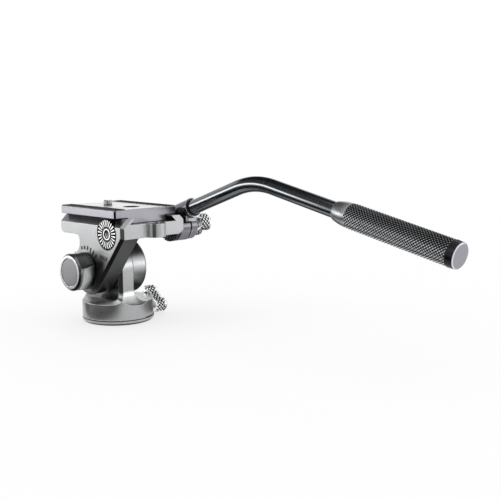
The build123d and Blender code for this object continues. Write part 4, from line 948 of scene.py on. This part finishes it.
def makePlateCords(c):
    # a flat-bottomed, round-topped section carried from the plate's rear to its front, once a cord
    turn = np.linspace(0, math.pi, c["arcs"])
    across = np.concatenate([[-c["half"], c["half"]], c["half"] * np.cos(turn)])
    up = np.concatenate([[c["low"]] * 2, c["high"] - c["half"] * (1 - np.sin(turn))])
    middles = np.array([side * middle * mm for side in (-1, 1) for middle in c["middles"]])
    count = len(across)
    points = np.empty((len(middles), 2, count, 3))
    points[..., 0] = middles[:, None, None] + across
    points[..., 1] = np.array([c["rear"], c["front"]])[:, None]
    points[..., 2] = up
    ring = np.arange(count)[None]
    single = gridFaces(2, count) + [ring[:, ::-1], ring + count]
    faces = [part + 2 * count * number for number in range(len(middles)) for part in single]
    buildPiece("plateCords", points, faces, "camera_plate", "black_rubber")


makePlateCords(plateCords)

# Drag dial on the arm's left face
dragDial = {
    "face": -26.0 * mm, "proud": 0.03 * mm, "sunk": 0.05 * mm, "radius": 15.6 * mm,
    "first": 106.0, "last": 42.0, "bars": 6,         # degrees from the rear
    "barShort": 2.2 * mm, "barLong": 4.4 * mm, "barWidth": 1.9 * mm,
    "wordSize": 4.0 * mm, "bold": 0.22 * mm, "curveSteps": 3,
    # each word, the degrees and radius of its middle, and the degrees that its up points to
    "words": (("MIN", 150.0, 16.4 * mm, 132.0), ("MAX", 26.0, 23.4 * mm, 80.0)),
}


def makeDialBars(d):
    # bars stand on an arc about the tilt axis and grow from the low end to the high end
    share = np.linspace(0, 1, d["bars"])
    angle = np.radians(d["first"] + (d["last"] - d["first"]) * share)
    length = d["barShort"] + (d["barLong"] - d["barShort"]) * share
    out = np.stack([np.zeros_like(angle), -np.cos(angle), np.sin(angle)], axis=1)
    side = np.stack([np.zeros_like(angle), np.sin(angle), np.cos(angle)], axis=1)
    corners = []
    for x in (d["face"] - d["proud"], d["face"] + d["sunk"]):
        for along, across in ((-1, -1), (-1, 1), (1, 1), (1, -1)):
            middle = np.array(tiltAxis[0]) + out * (d["radius"] + along * length / 2)[:, None]
            corner = middle + side * across * d["barWidth"] / 2
            corner[:, 0] = x
            corners.append(corner)
    box = np.array([
        [0, 1, 2, 3], [7, 6, 5, 4], [0, 4, 5, 1], [1, 5, 6, 2], [2, 6, 7, 3], [3, 7, 4, 0],
    ])
    faces = (box + 8 * np.arange(d["bars"])[:, None, None]).reshape(-1, 4)
    buildPiece("dialBars", np.stack(corners, axis=1), [faces], "tilt_head", "level_cup")


def makeDialWord(word, degrees, radius, rise, d):
    # a flat word made a mesh, then laid on the face about the tilt axis
    letters = bpy.data.curves.new("dialWord", "FONT")
    letters.body, letters.size = word, d["wordSize"]
    letters.align_x = letters.align_y = "CENTER"
    letters.extrude, letters.offset = (d["proud"] + d["sunk"]) / 2, d["bold"]
    letters.resolution_u = d["curveSteps"]
    holder = addObject("dialWord", letters)
    ready = holder.evaluated_get(bpy.context.evaluated_depsgraph_get())
    mesh = bpy.data.meshes.new_from_object(ready)
    bpy.data.objects.remove(holder)
    angle, rise = math.radians(degrees), math.radians(rise)
    middle = Vector(tiltAxis[0]) + Vector((0, -math.cos(angle), math.sin(angle))) * radius
    middle.x = d["face"] + (d["sunk"] - d["proud"]) / 2
    front, up = Vector((-1, 0, 0)), Vector((0, -math.cos(rise), math.sin(rise)))
    mesh.transform(axesMatrix(up.cross(front), up, front, middle))
    mesh.name = "dial" + word.capitalize()
    settle(mesh.name, mesh, "tilt_head", "level_cup")


makeDialBars(dragDial)
for row in dragDial["words"]:
    makeDialWord(*row, dragDial)

# Stage: floor, world, lamps and dark cards
stageLook = {
    "floorSize": 8.0, "floorDrop": 0.05 * mm, "floorShade": 0.97, "worldDiffuse": 0.95,
    "shadowShare": 0.35, "shadowReach": 0.22, "shadowEnd": 0.75,
}
white = (1, 1, 1, 1)


def makeBoard(name, width, depth, matrix, shade):
    # a dull rectangle laid by the matrix
    x, y = width / 2, depth / 2
    mesh = bpy.data.meshes.new(name)
    mesh.from_pydata([(-x, -y, 0), (x, -y, 0), (x, y, 0), (-x, y, 0)], [], [(0, 1, 2, 3)])
    mesh.transform(matrix)
    material, tree, shader = newMaterial(name)
    feed(tree, shader, {"Base Color": (shade, shade, shade, 1), "Roughness": 0.9})
    mesh.materials.append(material)
    board = addObject(name, mesh)
    return board, tree, shader


def seenRays(tree):
    # 1 for camera, glossy and transmission rays, 0 for the rest
    path = addNode(tree, "LightPath").outputs
    either = calc(tree, "MAXIMUM", path["Is Camera Ray"], path["Is Glossy Ray"])
    return calc(tree, "MAXIMUM", either, path["Is Transmission Ray"])


def makeFloor(look):
    # the floor is white to the camera and to reflections, and near the object it is so only in
    # part, which keeps its shadow
    size, ground = look["floorSize"], Matrix.Translation((0, 0, -look["floorDrop"]))
    tree, shader = makeBoard("paleFloor", size, size, ground, look["floorShade"])[1:]
    feed(tree, shader, {"Specular IOR Level": 0.1})
    glow = addNode(tree, "Emission", {"Color": white})
    away = vectorCalc(tree, "LENGTH", addNode(tree, "TexCoord").outputs["Object"])
    ends = look["shadowReach"], look["shadowEnd"]
    whiter = mapRange(tree, away, *ends, 1 - look["shadowShare"], 1.0, smooth=True)
    share = calc(tree, "MULTIPLY", seenRays(tree), whiter)
    blend = addNode(tree, "MixShader", {0: share, 1: shader.outputs[0], 2: glow.outputs[0]})
    feed(tree, tree.nodes["Material Output"], {"Surface": blend.outputs[0]})


def makeWorld(look):
    # white to the camera and to reflections, and a little less as light
    world = bpy.data.worlds.new("paleRoom")
    bpy.context.scene.world = world
    world.use_nodes = True
    tree = world.node_tree
    strength = mapRange(tree, seenRays(tree), 0, 1, look["worldDiffuse"], 1)
    feed(tree, tree.nodes["Background"], {"Color": white, "Strength": strength})


lamps = {
    "stripLeft": {"from": (-0.85, 0.91, 0.17), "size": (0.55, 0.28), "strength": 5.0},
    "keyLeft": {"from": (-1.0, 0.35, 0.95), "size": (0.5, 0.4), "strength": 2.0},
    "rearRight": {"from": (0.95, -0.95, 0.20), "size": (0.6, 0.38), "strength": 2.2},
    "frontRight": {"from": (1.0, 1.0, 0.3), "size": (0.9, 0.5), "strength": 0.85},
}
# Dark cards that only reflections see, as a photographer sets them round a metal object
cards = {
    "cameraCard": {"at": (-0.75, -0.78, 0.28), "size": (0.75, 0.85), "shade": 0.015},
    "rightCard": {"at": (1.15, 0.05, 0.30), "size": (0.7, 0.7), "shade": 0.03},
    "topFrontCard": {"at": (0.10, 0.62, 0.95), "size": (1.35, 0.80), "shade": 0.03},
    "leftFrontCard": {"at": (-0.63, 0.63, 0.76), "size": (0.72, 0.86), "shade": 0.12},
}
# and those that lie on the floor
floorCards = {
    "floorCardRight": {"at": (0.100, -0.015, 0.0005), "size": (0.13, 0.17), "shade": 0.16},
    "floorCardLeft": {"at": (-0.16, 0.07, 0.0004), "size": (0.25, 0.26), "shade": 0.02},
    "floorCardRear": {"at": (-0.19, -0.20, 0.0006), "size": (0.28, 0.28), "shade": 0.02},
}
aimPoint = Vector((0, -0.03, 0.06))


def facing(spot):
    # a place at the spot that faces the object, with its width level
    turn = (Vector(spot) - aimPoint).to_track_quat("Z", "Y").to_matrix()
    return Matrix.Translation(spot) @ turn.to_4x4()


def makeLamp(name, lamp):
    # a soft box whose power gives its face the wanted brightness: brightness x pi x area
    data = bpy.data.lights.new(name, "AREA")
    data.shape = "RECTANGLE"
    data.size, data.size_y = lamp["size"]
    data.energy = lamp["strength"] * math.pi * data.size * data.size_y
    light = addObject(name, data)
    light.visible_camera = False
    light.matrix_world = facing(lamp["from"])


def makeCard(name, card, matrix):
    # a board that only reflections see
    board = makeBoard(name, *card["size"], matrix, card["shade"])[0]
    board.visible_camera = board.visible_diffuse = False
    board.visible_shadow = board.visible_transmission = False


makeFloor(stageLook)
makeWorld(stageLook)
for name, lamp in lamps.items():
    makeLamp(name, lamp)
for name, card in cards.items():
    makeCard(name, card, facing(card["at"]))
for name, card in floorCards.items():
    makeCard(name, card, Matrix.Translation(card["at"]))
print("stage set")
